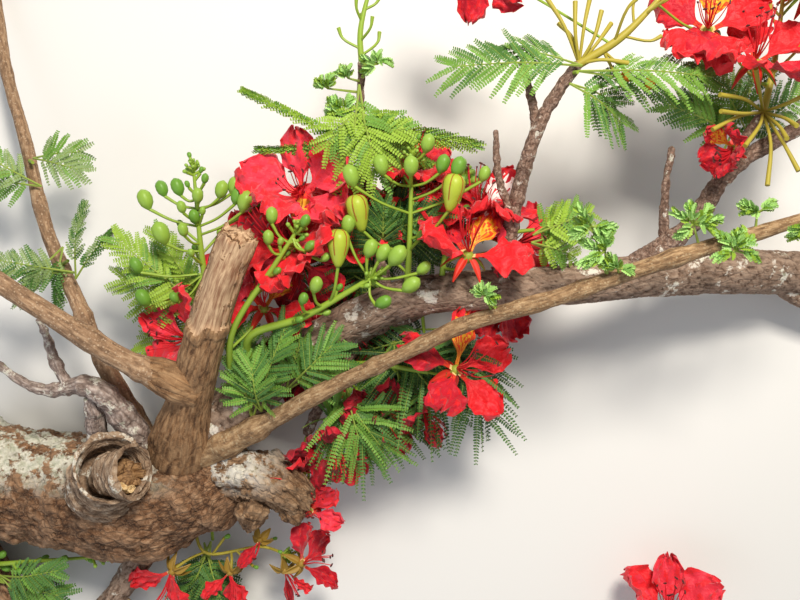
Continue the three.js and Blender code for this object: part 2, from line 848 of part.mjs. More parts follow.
// A leaf with two rows of pinnae, as one flattened four-sided tube whose edges are drawn out into them.
// A pinna that would touch another piece isn't drawn out.
function leaf(owner, { root, tip, arch, size, seed }) {
  const start = vector(root);
  const end = vector(tip);
  const crown = start.clone().lerp(end, 0.5).addScaledVector(UP, arch);
  const rachis = [[...start, RACHIS_RADIUS], [...crown, RACHIS_RADIUS], [...end, 0]];
  if (!isClear(owner, tube(rachis, { sides: 4, perSpan: 4, grow: CLEARANCE }))) {
    leftOut[owner] += 1;
    return;
  }
  const curve = curveOf(rachis);
  const pairs = Math.max(3, Math.round((curve.getLength() * (1 - BARE_RACHIS)) / (PINNA_SPACING * size)));
  const steps = 1 + 2 * pairs;
  const rings = Array.from({ length: steps + 1 }, (_, step) => {
    const share = step === 0 ? 0 : lerp(BARE_RACHIS, 1, (step - 1) / (steps - 1));
    const along = curve.getTangent(share);
    const side = new THREE.Vector3().crossVectors(along, UP).normalize();
    return { share, centre: curve.getPoint(share), along, side, over: new THREE.Vector3().crossVectors(side, along) };
  });
  const thickAt = (share) => RACHIS_RADIUS * lerp(1, 0.5, share);
  const pinna = (step, hand) => {
    if (step === 0 || step % 2 !== 0) return null;
    const { share, along, side, centre, over } = rings[step];
    const forward = radians(lerp(76, 22, share));
    const length = PINNA_LENGTH * size * lerp(0.75, 1, Math.sin(Math.PI * share)) * lerp(0.9, 1.1, chance(seed, step, 6));
    const reach = along
      .clone()
      .multiplyScalar(length * Math.cos(forward))
      .addScaledVector(side, hand * length * Math.sin(forward))
      .addScaledVector(DOWN, length * lerp(0, 0.3, chance(seed, step, 7 + hand)));
    const edge = RACHIS_RADIUS + CLEARANCE;
    const ends = [rings[step - 1], rings[step + 1]].flatMap((ring) =>
      [0, hand * edge].map((across) => ring.centre.clone().addScaledVector(side, across)),
    );
    const tip = centre.clone().addScaledVector(reach, 1 + CLEARANCE / length);
    const corners = [...ends, centre, tip].flatMap((corner) =>
      [-edge, edge].map((up) => corner.clone().addScaledVector(over, up)),
    );
    if (isClear(owner, toSolid(new ConvexGeometry(corners)))) return reach;
    leftOut[owner] += 1;
    return null;
  };
  const drawn = rings.map((_, step) => ({ [-1]: pinna(step, -1), 1: pinna(step, 1) }));
  const solid = toSolid(
    remap(new THREE.CylinderGeometry(0, 1, 1, 4, steps), (vertex) => {
      const t = vertex.y + 0.5;
      const step = Math.round(t * steps);
      const { share, centre, side, over } = rings[step];
      const thick = step === steps ? 0 : thickAt(share);
      const hand = step === steps ? 0 : Math.round(vertex.x / (1 - t));
      const lift = step === steps ? 0 : Math.round(vertex.z / (1 - t));
      const place = centre.clone().addScaledVector(side, hand * thick).addScaledVector(over, lift * thick);
      return hand !== 0 && drawn[step][hand] ? place.add(drawn[step][hand]) : place;
    }),
  );
  addPart(owner, solid, () => solid);
}

// A mass of leaves on one short stem, which comes from a share of the way along its carrier. Each leaf has a tip,
// a size and how far it arches up.
function leafMass(name, { on, at, rise, leaves }) {
  startNode(name, LEAF);
  const start = pointOn(on, at);
  const root = start.clone().add(vector(rise));
  addSeated(name, (grow) => tube([[...start, 2.4], [...root, 2.2]], { sides: 5, perSpan: 1, grow }));
  leaves.forEach(([tip, size = 1, arch = 12], i) => leaf(name, { root, tip, size, arch, seed: at * 50 + i }));
}

leafMass("leaves_rising_top", {
  on: "rising_bough",
  at: 0.66,
  rise: [14, -6, 22],
  leaves: [[[-446, 158, 100]], [[-340, 138, 98], 0.8]],
});
leafMass("leaves_rising_low", {
  on: "rising_bough",
  at: 0.47,
  rise: [14, 4, 18],
  leaves: [[[-325, 97, 126], 0.7], [[-420, 42, 124], 0.8], [[-392, 0, 120], 0.8]],
});
leafMass("leaves_left", {
  on: "crotch_twig",
  at: 0.8,
  rise: [-16, 6, -18],
  leaves: [[[-300, 66, 130]], [[-306, 22, 100]], [[-300, -54, 78], 0.9, 0]],
});
leafMass("leaves_top", {
  on: "centre_twig",
  at: 0.66,
  rise: [-1, 2, 16],
  leaves: [
    [[-154, 206, 162], 0.8],
    [[-95, 134, 186]],
    [[2, 138, 192]],
    [[-78, 277, 168], 0.8],
    [[-2, 262, 176], 0.8],
  ],
});
leafMass("leaves_core", {
  on: "centre_twig",
  at: 0.22,
  rise: [1, 4, -18],
  leaves: [[[44, 122, 104]], [[-54, 6, 92]], [[36, 38, 96]], [[-70, 92, 98]]],
});
leafMass("leaves_right", {
  on: "upper_left_bough",
  at: 0.25,
  rise: [22, 2, 8],
  leaves: [[[206, 100, 154]], [[204, 36, 152]]],
});
leafMass("leaves_lower_left", {
  on: "right_limb",
  at: 0.17,
  rise: [8, -20, 30],
  leaves: [[[-66, -44, 168], 0.9], [[-112, -26, 170], 0.8]],
});
leafMass("leaves_lower_middle", {
  on: "under_twig",
  at: 0.72,
  rise: [12, -12, 8],
  leaves: [[[-58, -182, 116]], [[-22, -200, 108]], [[8, -224, 92]], [[0, -150, 84]]],
});
leafMass("leaves_lower_right", {
  on: "right_limb",
  at: 0.43,
  rise: [4, -38, -24],
  leaves: [[[96, -172, 108]], [[-10, -110, 84]], [[84, -90, 92]]],
});
leafMass("leaves_tip_left", {
  on: "upper_left_bough",
  at: 0.94,
  rise: [4, -2, 11],
  leaves: [[[44, 216, 192]], [[218, 160, 190]], [[300, 212, 192]]],
});
leafMass("leaves_tip_right", {
  on: "upper_right_bough",
  at: 0.75,
  rise: [-8, 14, -18],
  leaves: [[[266, 196, 150], 0.8], [[300, 236, 148], 0.8], [[410, 214, 152]]],
});
leafMass("leaves_bottom", {
  on: "main_limb",
  at: 0.7,
  rise: [-2, -72, -32],
  leaves: [[[-248, -366, 34]], [[-188, -372, 36]]],
});
leafMass("leaves_bottom_left", {
  on: "lower_left_stub",
  at: 0.55,
  rise: [24, 6, 22],
  leaves: [[[-372, -326, 60]], [[-366, -290, 88], 0.8], [[-490, -274, 96], 0.7]],
});

// Fresh shoots that stand on the front bough, as [share of the way along it, tip].
const SHOOTS = [
  [0.55, [74, 14, 214]],
  [0.7, [182, 56, 236]],
  [0.8, [250, 84, 244]],
  [0.86, [330, 24, 246]],
];
SHOOTS.forEach(([at, tip], i) =>
  leaf("front_bough", { root: [...pointOn("front_bough", at)], tip, arch: 4, size: 0.45, seed: i }),
);

// The branch, with its origin on the floor under its middle

const branch = new THREE.Group();
for (const [name, { material, parts }] of nodes) {
  const solid = largestBody(wasm.Manifold.union(parts.map((part) => part.solid)));
  const mesh = new THREE.Mesh(toGeometry(solid), material);
  mesh.name = name;
  mesh.position.set(-MIDDLE[0], -MIDDLE[1], -FLOOR);
  mesh.userData.leftOut = leftOut[name];
  branch.add(mesh);
}

export default branch;
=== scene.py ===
"""A flowering branch cut from a flame tree, lying on a pale studio floor and seen from straight above.

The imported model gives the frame. Every limb is modelled again with its bark, and every raceme, bloom and
mass of leaves grows again by the model's own rule, carried on to single petals, stamens and leaflets.
Routes are in millimetres as they are seen from above: X to the right, Y up in the picture, Z over the floor.
A route runs from its foot, and a point on it is its place and the radius there.
"""

import math

import bpy
import numpy as np
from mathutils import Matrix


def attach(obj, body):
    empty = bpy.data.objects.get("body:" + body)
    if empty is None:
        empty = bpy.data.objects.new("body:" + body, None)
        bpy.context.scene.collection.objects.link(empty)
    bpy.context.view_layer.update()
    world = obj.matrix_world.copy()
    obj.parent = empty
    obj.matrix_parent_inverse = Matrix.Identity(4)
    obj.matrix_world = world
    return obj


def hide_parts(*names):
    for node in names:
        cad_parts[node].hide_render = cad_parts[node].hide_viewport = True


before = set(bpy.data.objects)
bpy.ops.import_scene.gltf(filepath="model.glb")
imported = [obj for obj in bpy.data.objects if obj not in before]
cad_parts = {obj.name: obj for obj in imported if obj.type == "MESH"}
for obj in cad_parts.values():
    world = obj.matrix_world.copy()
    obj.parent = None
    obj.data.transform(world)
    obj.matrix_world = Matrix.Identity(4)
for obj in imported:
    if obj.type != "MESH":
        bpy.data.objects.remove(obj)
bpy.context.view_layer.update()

MM = 0.001
MIDDLE = np.array([-3.5, -26.5, -0.3])  # the model's origin, as the routes count
BODY = "root"
UP = np.array([0.0, 0.0, 1.0])
GOLDEN_ANGLE = math.pi * (3 - math.sqrt(5))

CAMERA_HEIGHT = 1010  # mm over the floor
LENS = 38.7  # mm
SENSOR = 36  # mm
FLOOR_SIZE = 12  # metres

PETAL_LENGTH = 63
PETAL_WIDTH = 56
PETAL_THICKNESS = 0.5
PETAL_CURL = 0.16  # how far the tip bends back, as a share of the length
SEPAL_LENGTH = 26
SEPAL_WIDTH = 8.5
SEPAL_THICKNESS = 1.1
SEPAL_LAG = 25  # degrees that the sepals stand behind the petals
CUP_DEPTH = 14
STAMEN_LENGTH = 52
STAMENS = 10
ANTHER_LENGTH = 5
STALK_RADIUS = 1.4
PETALS = 5

BUD_RADIUS = 9
RIPE_BUD_LENGTH = 34
RIPE_BUD_RADIUS = 10.3

RACHIS_RADIUS = 0.9
PINNA_LENGTH = 48
PINNA_SPACING = 9.6
BARE_RACHIS = 0.22  # the share of a leaf's stem below its first pinnae
LEAFLET_LENGTH = 4.2
LEAFLET_WIDTH = 2.6
LEAFLET_SPACING = 2.5


# Small sums

def lerp(a, b, share):
    return a + (b - a) * share


def step_up(low, high, value):
    share = np.clip((value - low) / (high - low), 0, 1)
    return share * share * (3 - 2 * share)


def chance(*keys):
    """A number from 0 to 1 that looks random and is the same in every run."""
    total = 0.5 + sum(key * (12.9898 + 65.3 * i) for i, key in enumerate(keys))
    wave = np.sin(total) * 43758.5453
    return wave - np.floor(wave)


def unit(vector):
    vector = np.asarray(vector, float)
    return vector / np.linalg.norm(vector, axis=-1, keepdims=True)


def smooth_line(route, shares):
    """Points, directions and radii at shares of the way along the smooth line through a route's points."""
    route = np.asarray(route, float)
    points = route[:, :3]
    spans = len(points) - 1
    wide = np.vstack([2 * points[0] - points[1], points, 2 * points[-1] - points[-2]])
    gaps = np.linalg.norm(np.diff(wide, axis=0), axis=1) ** 0.5
    place = np.clip(np.asarray(shares, float), 0, 1) * spans
    span = np.minimum(place.astype(int), spans - 1)
    t = (place - span)[:, None]
    a, b, c, d = (wide[span + i] for i in range(4))
    ga, gb, gc = (gaps[span + i][:, None] for i in range(3))
    out = ((b - a) / ga - (c - a) / (ga + gb) + (c - b) / gb) * gb
    into = ((c - b) / gb - (d - b) / (gb + gc) + (d - c) / gc) * gb
    square = 3 * (c - b) - 2 * out - into
    cube = 2 * (b - c) + out + into
    at = b + out * t + square * t**2 + cube * t**3
    along = unit(out + 2 * square * t + 3 * cube * t**2)
    radii = lerp(route[span, 3], route[span + 1, 3], t[:, 0]) if route.shape[1] > 3 else None
    return at, along, radii


def point_on(route, share):
    return smooth_line(route, [share])[0][0]


def swelling(places, at, wide):
    """A smooth rise from 0 to 1 and back round a place."""
    return np.exp(-(((places - at) / wide) ** 2))


def turned(first, second, turn):
    """A direction between two that stand square to each other, by its turn from the first."""
    return first * math.cos(turn) + second * math.sin(turn)


def frames_along(along):
    """Two directions across a line at each of its points, turned as little as can be."""
    across = np.cross(along[0], UP if abs(along[0][2]) <= 0.9 else (0, 1, 0))
    sides = []
    for way in along:
        across = unit(across - way * (across @ way))
        sides.append(across)
    sides = np.array(sides)
    return sides, np.cross(along, sides)


# Finishes

GRIT = 1.6  # mm, the grains of cork
STAIN = 34  # mm, the darker patches
DOT_SPACING = 2.6  # from pore to pore, as a share of a pore's size
LICHEN_TINT = 7  # mm, from one tint of a crust to the next
BARE_PATCH = 12  # mm, the darker patches on bare wood
SHARE, UNDER, OVER, MIXED = 0, 6, 7, 2  # a colour mix's sockets, by number as others share their names


def linear(code, alpha=1.0):
    """A colour in the renderer's linear light, from an sRGB hex value."""
    parts = [int(code[i : i + 2], 16) / 255 for i in (1, 3, 5)]
    return (*(p / 12.92 if p <= 0.04045 else ((p + 0.055) / 1.055) ** 2.4 for p in parts), alpha)


def add(tree, kind, links=None, stops=(), **settings):
    """Adds one node. A link is another node's output, or a plain value for that input.

    Stops are a colour ramp's own: (place, sRGB hex).
    """
    made = tree.nodes.new(kind)
    for name, value in settings.items():
        setattr(made, name, value)
    for name, value in (links or {}).items():
        if isinstance(value, bpy.types.NodeSocket):
            tree.links.new(value, made.inputs[name])
        else:
            made.inputs[name].default_value = value
    for i, (place, code) in enumerate(stops):
        points = made.color_ramp.elements
        point = points[i] if i < 2 else points.new(place)
        point.position = place
        point.color = linear(code)
    return made


def tinted(tree, colour, value, none, full, most, tint):
    """Lays a tint over a colour: not at all where the value is none, and most strongly where it is full."""
    span = {"Value": value, "From Min": none, "From Max": full, "To Max": most}
    share = add(tree, "ShaderNodeMapRange", span).outputs[0]
    layers = {SHARE: share, UNDER: colour, OVER: linear(tint)}
    return add(tree, "ShaderNodeMix", layers, data_type="RGBA").outputs[MIXED]


def start_material(name, roughness, ior=1.45):
    material = bpy.data.materials.new(name)
    material.use_nodes = True
    shader = material.node_tree.nodes["Principled BSDF"]
    shader.inputs["Roughness"].default_value = roughness
    shader.inputs["IOR"].default_value = ior
    return material, material.node_tree, shader


def bark(name, dark, middle, light, plate, stretch, crack=0.5, lichen=None, dots=None, roughness=0.92):
    """Bark: dead cork cells, matt all over, with plates and cracks drawn out along the limb.

    The size of a plate across the limb is in millimetres. Lichen is (colour, share, size in mm). Dots are
    (colour, size in mm), for the pores of a young shoot. The relief's crests are painted paler as highlight,
    and what it sinks is painted darker as shade.
    """
    material, tree, shader = start_material(name, roughness)
    grain = add(tree, "ShaderNodeAttribute", attribute_name="grain").outputs["Vector"]
    relief = add(tree, "ShaderNodeAttribute", attribute_name="relief").outputs["Fac"]
    fine = 1 / (plate * MM)
    drawn = {"Vector": grain, "Scale": (fine, fine, fine / stretch)}
    drawn = add(tree, "ShaderNodeMapping", drawn).outputs[0]
    fibre = add(tree, "ShaderNodeTexNoise", {"Vector": drawn, "Scale": 1.0, "Detail": 6.0, "Roughness": 0.62})
    plates = {"Vector": drawn, "Scale": 0.7}
    plates = add(tree, "ShaderNodeTexVoronoi", plates, feature="DISTANCE_TO_EDGE").outputs[0]
    grit = {"Vector": grain, "Scale": 1 / (GRIT * MM), "Detail": 3.0}
    grit = add(tree, "ShaderNodeTexNoise", grit).outputs[0]
    stain = {"Vector": grain, "Scale": 1 / (STAIN * MM), "Detail": 2.0}
    stain = add(tree, "ShaderNodeTexNoise", stain).outputs[0]
    stops = ((0.3, dark), (0.5, middle), (0.72, light))
    colour = add(tree, "ShaderNodeValToRGB", {"Fac": fibre.outputs[0]}, stops).outputs["Color"]
    edge = {"Value": plates, "From Max": 0.12, "To Min": crack, "To Max": 0}
    edge = add(tree, "ShaderNodeMapRange", edge).outputs[0]
    layers = {SHARE: edge, UNDER: colour, OVER: linear(dark)}
    colour = add(tree, "ShaderNodeMix", layers, data_type="RGBA").outputs[MIXED]
    colour = tinted(tree, colour, stain, 0.35, 0.7, 0.45, dark)
    colour = tinted(tree, colour, grit, 0.55, 0.7, 0.35, light)
    # Painted highlight: the relief's crests are paled.
    colour = tinted(tree, colour, relief, 0.05, 0.6, 0.5, light)
    if dots:
        dot_colour, dot_size = dots
        cells = {"Vector": grain, "Scale": 1 / (dot_size * DOT_SPACING * MM)}
        cells = add(tree, "ShaderNodeTexVoronoi", cells).outputs[0]
        colour = tinted(tree, colour, cells, 0.32, 0.16, 0.6, dot_colour)
    if lichen:
        colour = lichen_on(tree, colour, *lichen)
    # Painted shade: what the relief sinks is darkened.
    colour = tinted(tree, colour, relief, 0.0, -0.6, 0.85, dark)
    height = add(tree, "ShaderNodeMath", {0: fibre.outputs[0], 1: edge}, operation="SUBTRACT")
    rough = add(tree, "ShaderNodeMath", {0: grit, 1: 0.35, 2: height.outputs[0]}, operation="MULTIPLY_ADD")
    bump = add(tree, "ShaderNodeBump", {"Height": rough.outputs[0], "Strength": 0.6, "Distance": 2.2 * MM})
    tree.links.new(colour, shader.inputs["Base Color"])
    tree.links.new(bump.outputs[0], shader.inputs["Normal"])
    return material


def lichen_on(tree, colour, code, share, size, side=None):
    """Crusts of lichen. A side is (X, Y) in metres: they grow only left of that X and above that Y."""
    place = add(tree, "ShaderNodeTexCoord").outputs["Object"]
    growth = {"Vector": place, "Scale": 1 / (size * MM), "Detail": 7.0, "Roughness": 0.7}
    growth = add(tree, "ShaderNodeTexNoise", growth).outputs[0]
    level = 0.62 - 0.24 * share
    spans = [(growth, level, level + 0.05)]
    if side:
        parts = add(tree, "ShaderNodeSeparateXYZ", {0: place}).outputs
        spans += [(parts["X"], side[0] + 0.05, side[0]), (parts["Y"], side[1] - 0.03, side[1])]
    amount = 1.0
    for value, none, full in spans:
        span = add(tree, "ShaderNodeMapRange", {"Value": value, "From Min": none, "From Max": full})
        amount = add(tree, "ShaderNodeMath", {0: amount, 1: span.outputs[0]}, operation="MULTIPLY").outputs[0]
    tint = {"Vector": place, "Scale": 1 / (LICHEN_TINT * MM), "Detail": 2.0}
    tint = add(tree, "ShaderNodeTexNoise", tint).outputs[0]
    stops = ((0.35, code), (0.6, "#DAD6C8"), (0.7, "#9C9A84"))
    crusts = add(tree, "ShaderNodeValToRGB", {"Fac": tint}, stops).outputs["Color"]
    layers = {SHARE: amount, UNDER: colour, OVER: crusts}
    return add(tree, "ShaderNodeMix", layers, data_type="RGBA").outputs[MIXED]


def bare_wood(name, dark, light, fibre, stretch):
    """Weathered wood where the bark is gone: dry fibres along the limb, with a faint silky sheen.

    The size of a bundle of fibres is in millimetres.
    """
    material, tree, shader = start_material(name, 0.72)
    grain = add(tree, "ShaderNodeAttribute", attribute_name="grain").outputs["Vector"]
    fine = 1 / (fibre * MM)
    drawn = {"Vector": grain, "Scale": (fine, fine, fine / stretch)}
    drawn = add(tree, "ShaderNodeMapping", drawn).outputs[0]
    strand = {"Vector": drawn, "Scale": 1.0, "Detail": 4.0, "Roughness": 0.6}
    strand = add(tree, "ShaderNodeTexNoise", strand).outputs[0]
    patch = {"Vector": grain, "Scale": 1 / (BARE_PATCH * MM), "Detail": 3.0}
    patch = add(tree, "ShaderNodeTexNoise", patch).outputs[0]
    stops = ((0.34, dark), (0.62, light))
    colour = add(tree, "ShaderNodeValToRGB", {"Fac": strand}, stops).outputs["Color"]
    colour = tinted(tree, colour, patch, 0.45, 0.75, 0.5, dark)
    bump = add(tree, "ShaderNodeBump", {"Height": strand, "Strength": 0.5, "Distance": 1.5 * MM})
    tree.links.new(colour, shader.inputs["Base Color"])
    tree.links.new(bump.outputs[0], shader.inputs["Normal"])
    return material


def living(name, code, roughness, cell=1.1, swell=0.25, coat=0.0, sheen=0.0):
    """Living skin, such as a leaflet, a petal or a green stem: one tint, and the fine swell of its cells.

    The tint is plain because a joined piece takes its shades by spray. A cell is drawn at the size in mm
    that shows, many times the real one. A coat is the wax on a bud, and sheen the down on a petal.
    """
    material, tree, shader = start_material(name, roughness, 1.4)
    place = add(tree, "ShaderNodeTexCoord").outputs["Object"]
    cells = add(tree, "ShaderNodeTexNoise", {"Vector": place, "Scale": 1 / (cell * MM), "Detail": 3.0})
    height = {"Height": cells.outputs[0], "Strength": swell, "Distance": 0.5 * cell * MM}
    bump = add(tree, "ShaderNodeBump", height)
    tree.links.new(bump.outputs[0], shader.inputs["Normal"])
    shader.inputs["Base Color"].default_value = linear(code)
    shader.inputs["Coat Weight"].default_value = coat
    shader.inputs["Coat Roughness"].default_value = 0.35
    shader.inputs["Sheen Weight"].default_value = sheen
    return material


HEAVY_BARK = bark(
    "old_bark", "#2A1B12", "#7B5537", "#BF9A78", 5, 2.3, 0.6, lichen=("#AEB09A", 0.62, 24, (-0.27, -0.15))
)
TORN_BARK = bark(
    "torn_bark", "#382619", "#836142", "#BE9F7E", 5, 3, 0.6, lichen=("#C6C3BC", 0.75, 18, (-0.16, -0.15))
)
SLEEVE_BARK = bark("sleeve_bark", "#4A3424", "#A0846A", "#D2BDA4", 9, 0.22, 0.45, lichen=("#CDBFAE", 0.2, 18))
STUB_BARK = bark("stub_bark", "#3C2719", "#86613F", "#BA966F", 4.5, 4.5, 0.4)
LIMB_BARK = bark("grey_bark", "#3C2B21", "#7D6351", "#B69E8A", 5, 2.6, 0.45, lichen=("#D6CDC2", 0.2, 22))
TWIG_BARK = bark("twig_bark", "#47332A", "#866959", "#BDA595", 3.5, 1.2, lichen=("#D2C9C0", 0.15, 12))
YOUNG_BARK = bark(
    "young_bark", "#5A412B", "#9D7C57", "#CAAC85", 3, 5, 0.2, dots=("#BBA886", 1.5), roughness=0.8
)
LEFT_BARK = bark(
    "tan_bark", "#5F4734", "#9C7B5C", "#C7A887", 4, 5, 0.2, dots=("#C9B296", 1.5), roughness=0.82
)
DEAD_BARK = bark("dead_bark", "#57473F", "#99867C", "#CFC1B8", 4, 3, lichen=("#D6CEC8", 0.3, 14))
BARE_WOOD = bare_wood("bare_wood", "#8C6448", "#D4B48F", 4, 7)
BROKEN_WOOD = bare_wood("broken_wood", "#57391F", "#AB855A", 2.6, 9)
SPLINTER_WOOD = bare_wood("splinter_wood", "#C39A62", "#EBD5A6", 1.8, 10)

GREEN_STEM = living("green_stem", "#8CA838", 0.45)
OLIVE_STEM = living("olive_stem", "#A79A38", 0.5)
LEAF_STALK = living("leaf_stalk", "#93A84A", 0.5)
# Lit, middle and dark are one leaf green in three levels of light: lit is painted light, dark painted shade.
LEAF_TINTS = {
    "fresh": living("leaf_fresh", "#A5CE79", 0.55),
    "bright": living("leaf_bright", "#90B13A", 0.55),
    "lit": living("leaf_lit", "#6E9A3C", 0.55),
    "middle": living("leaf_middle", "#4F7A35", 0.55),
    "dark": living("leaf_shade", "#365A2B", 0.55),
    "grey": living("leaf_grey", "#87A066", 0.6),
}
BUD_GREEN, BUD_LIGHT, BUD_RIPE, BUD_SEAM, BUD_OPENING = range(5)
BUD_SKINS = [
    living("bud_green", "#689733", 0.45, 2, 0.2, coat=0.1),
    living("bud_light", "#8BAE42", 0.45, 2, 0.2, coat=0.1),
    living("bud_ripe", "#A7B738", 0.45, 2, 0.2, coat=0.1),
    living("bud_seam", "#A8622C", 0.45),
    living("bud_opening", "#E08A22", 0.45, 2, 0.3),
]
PETAL_SKINS = [
    living("petal_scarlet", "#D8141F", 0.55, 3.2, 0.8, sheen=0.15),
    living("petal_crimson", "#BE0F28", 0.55, 3.2, 0.8, sheen=0.15),
    # Painted shade: the darkest red, for the deep style.
    living("petal_shade_red", "#970A1B", 0.55, 3.2, 0.8, sheen=0.15),
    living("petal_rose", "#E23348", 0.55, 3.2, 0.8, sheen=0.2),
    living("petal_orange", "#E84C1C", 0.55, 3.2, 0.6, sheen=0.15),
    living("petal_yellow", "#F3AE2C", 0.55, 3.2, 0.6),
    living("petal_white", "#F2E6E4", 0.6, 3.2, 0.6),
    living("petal_throat", "#F0CC8C", 0.55, 3.2, 0.4),
    living("petal_bright", "#E62430", 0.55, 3.2, 0.8, sheen=0.2),
]
SCARLET, CRIMSON, SHADE_RED, ROSE, ORANGE, YELLOW, WHITE, THROAT, BRIGHT = range(9)
# The skin of a petal's blade, and the paler one painted on its crests as highlight, by style: the usual
# pair and the other one.
BLADES = {
    "red": ((SCARLET, BRIGHT), (CRIMSON, SCARLET)),
    "pink": ((ROSE, BRIGHT), (BRIGHT, ROSE)),
    # The deep style is painted shade: its dark reds go to the low blooms that lie in the clump's shade.
    "deep": ((SHADE_RED, CRIMSON), (CRIMSON, SCARLET)),
}
GREEN_OUTSIDE, RED_INSIDE, OLIVE = range(3)
SEPAL_SKINS = [
    living("sepal_green", "#97A53C", 0.5),
    living("sepal_red", "#CC3322", 0.5),
    living("sepal_olive", "#9A7A2E", 0.5),
]
FILAMENT, ANTHER = range(2)
STAMEN_SKINS = [living("filament", "#CE2430", 0.5), living("anther", "#55201E", 0.65)]


# Wood

def deselect():
    bpy.ops.object.select_all(action="DESELECT")


def bar(name, radius, length, face):
    """A straight round bar along Z, in metres, whose faces are about as large as the face size."""
    deselect()
    around = max(8, round(2 * math.pi * radius / face))
    steps = max(3, round(length / face))
    bpy.ops.mesh.primitive_circle_add(vertices=around, radius=radius, fill_type="NGON", location=(0, 0, 0))
    piece = bpy.context.object
    piece.name = name
    piece.data.name = name
    bpy.ops.object.mode_set(mode="EDIT")
    bpy.ops.mesh.select_all(action="SELECT")
    bpy.ops.mesh.extrude_repeat(steps=steps, offset=(0, 0, length / steps))
    bpy.ops.mesh.select_all(action="SELECT")
    bpy.ops.mesh.normals_make_consistent(inside=False)
    bpy.ops.mesh.select_all(action="DESELECT")
    bpy.ops.object.mode_set(mode="OBJECT")
    return piece


def select_faces(piece, chosen):
    """Selects the faces that a list of true and false names, in edit mode."""
    bpy.ops.object.mode_set(mode="EDIT")
    bpy.ops.mesh.select_mode(type="FACE")
    bpy.ops.mesh.select_all(action="DESELECT")
    bpy.ops.object.mode_set(mode="OBJECT")
    piece.data.polygons.foreach_set("select", np.asarray(chosen, bool))
    bpy.ops.object.mode_set(mode="EDIT")


def face_table(piece):
    """The middles and the normals of a piece's faces."""
    count = len(piece.data.polygons)
    middles, normals = np.zeros(count * 3), np.zeros(count * 3)
    piece.data.polygons.foreach_get("center", middles)
    piece.data.polygons.foreach_get("normal", normals)
    return middles.reshape(-1, 3), normals.reshape(-1, 3)


def end_faces(piece, height, top=True):
    """The cap at one end of a bar."""
    middles, normals = face_table(piece)
    way = 1 if top else -1
    return (np.abs(middles[:, 2] - height) < 1e-5) & (normals[:, 2] * way > 0.9)


FLAT_END = ((0.12, 0), (0.1, 0), (0.2, 0), (0.2, 0), (0.2, 0))
ROUND_TURNS = np.arange(7) * math.pi / 13
ROUND_END = tuple(zip(-np.diff(np.cos(ROUND_TURNS)), np.diff(np.sin(ROUND_TURNS))))
TEAR_STEPS = 8
FLOOR_SLACK = 0.05 * MM


def close_end(piece, height, radius, steps=FLAT_END, top=True, bulge=1.0):
    """Closes a cap ring by ring. A step is how far it goes in and how far out, as shares of the radius.

    A bulge is how many times as thick as the bar the limb will be there.
    """
    select_faces(piece, end_faces(piece, height, top))
    way = 1 if top else -1
    for thickness, push in steps:
        bpy.ops.mesh.inset(thickness=radius * thickness)
        bpy.ops.transform.translate(value=(0, 0, push * radius * bulge * way))
    bpy.ops.mesh.poke()
    bpy.ops.object.mode_set(mode="OBJECT")


def grain_empty(size, stretch, shift):
    """What the relief's pattern is measured by: its size across the limb in mm, drawn out along it."""
    empty = bpy.data.objects.new("grain_size", None)
    empty.scale = (size * MM, size * MM, size * stretch * MM)
    empty.location = (shift * MM, shift * MM, 0)
    bpy.context.scene.collection.objects.link(empty)
    bpy.context.view_layer.update()
    return empty


def point_table(piece):
    places = np.zeros(len(piece.data.vertices) * 3, np.float32)
    piece.data.vertices.foreach_get("co", places)
    return places.reshape(-1, 3)


def raise_relief(piece, layer, shift, way="NORMAL", group="", level=0.5):
    """Moves a bar's surface by one layer of noise."""
    basis, size, stretch, height = layer
    texture = bpy.data.textures.new(f"relief_{basis.lower()}", "CLOUDS")
    texture.noise_basis = basis
    texture.noise_scale = 1
    texture.noise_depth = 2
    empty = grain_empty(size, stretch, shift)
    relief = piece.modifiers.new("relief", "DISPLACE")
    relief.texture = texture
    relief.texture_coords = "OBJECT"
    relief.texture_coords_object = empty
    relief.strength = height * MM
    relief.direction = way
    relief.vertex_group = group
    relief.mid_level = level
    bpy.context.view_layer.objects.active = piece
    bpy.ops.object.modifier_apply(modifier=relief.name)
    bpy.data.objects.remove(empty)


def roughen(piece, layers, shift):
    """Raises bark from a smooth bar. A layer is (noise, size in mm, stretch along the limb, height in mm).

    The first layer is the limb's own lumps. What the others raise or sink is kept for the bark's colours:
    its painted highlight on the crests and its painted shade in the sinks.
    """
    raise_relief(piece, layers[0], shift)
    smooth = np.hypot(*point_table(piece)[:, :2].T)
    for number, layer in enumerate(layers[1:], 1):
        raise_relief(piece, layer, shift + 17 * number)
    raised = (np.hypot(*point_table(piece)[:, :2].T) - smooth) / MM
    share = 2 * raised / sum(layer[3] for layer in layers[1:])
    piece.data.attributes.new("relief", "FLOAT", "POINT").data.foreach_set("value", share.astype(np.float32))


def tear_tip(piece, length, depth, shift):
    """Splinters the tip of a bar: each bundle of fibres has broken off at its own length."""
    group = piece.vertex_groups.new(name="tip")
    reach = 1.5 * depth * MM
    share = np.clip((point_table(piece)[:, 2] - length + reach) / reach, 0, 1)
    for step in range(1, TEAR_STEPS + 1):
        ring = np.nonzero(np.ceil(share * TEAR_STEPS) == step)[0]
        group.add([int(i) for i in ring], step / TEAR_STEPS, "REPLACE")
    raise_relief(piece, ("CELL_NOISE", 9, 400, 0.5 * depth), shift, "Z", "tip", 0.7)
    raise_relief(piece, ("BLENDER_ORIGINAL", 14, 400, depth), shift + 9, "Z", "tip", 0.6)


def keep_grain(piece):
    """Keeps each point's place on the straight bar, for patterns that follow the limb."""
    places = point_table(piece).ravel()
    piece.data.attributes.new("grain", "FLOAT_VECTOR", "POINT").data.foreach_set("vector", places)


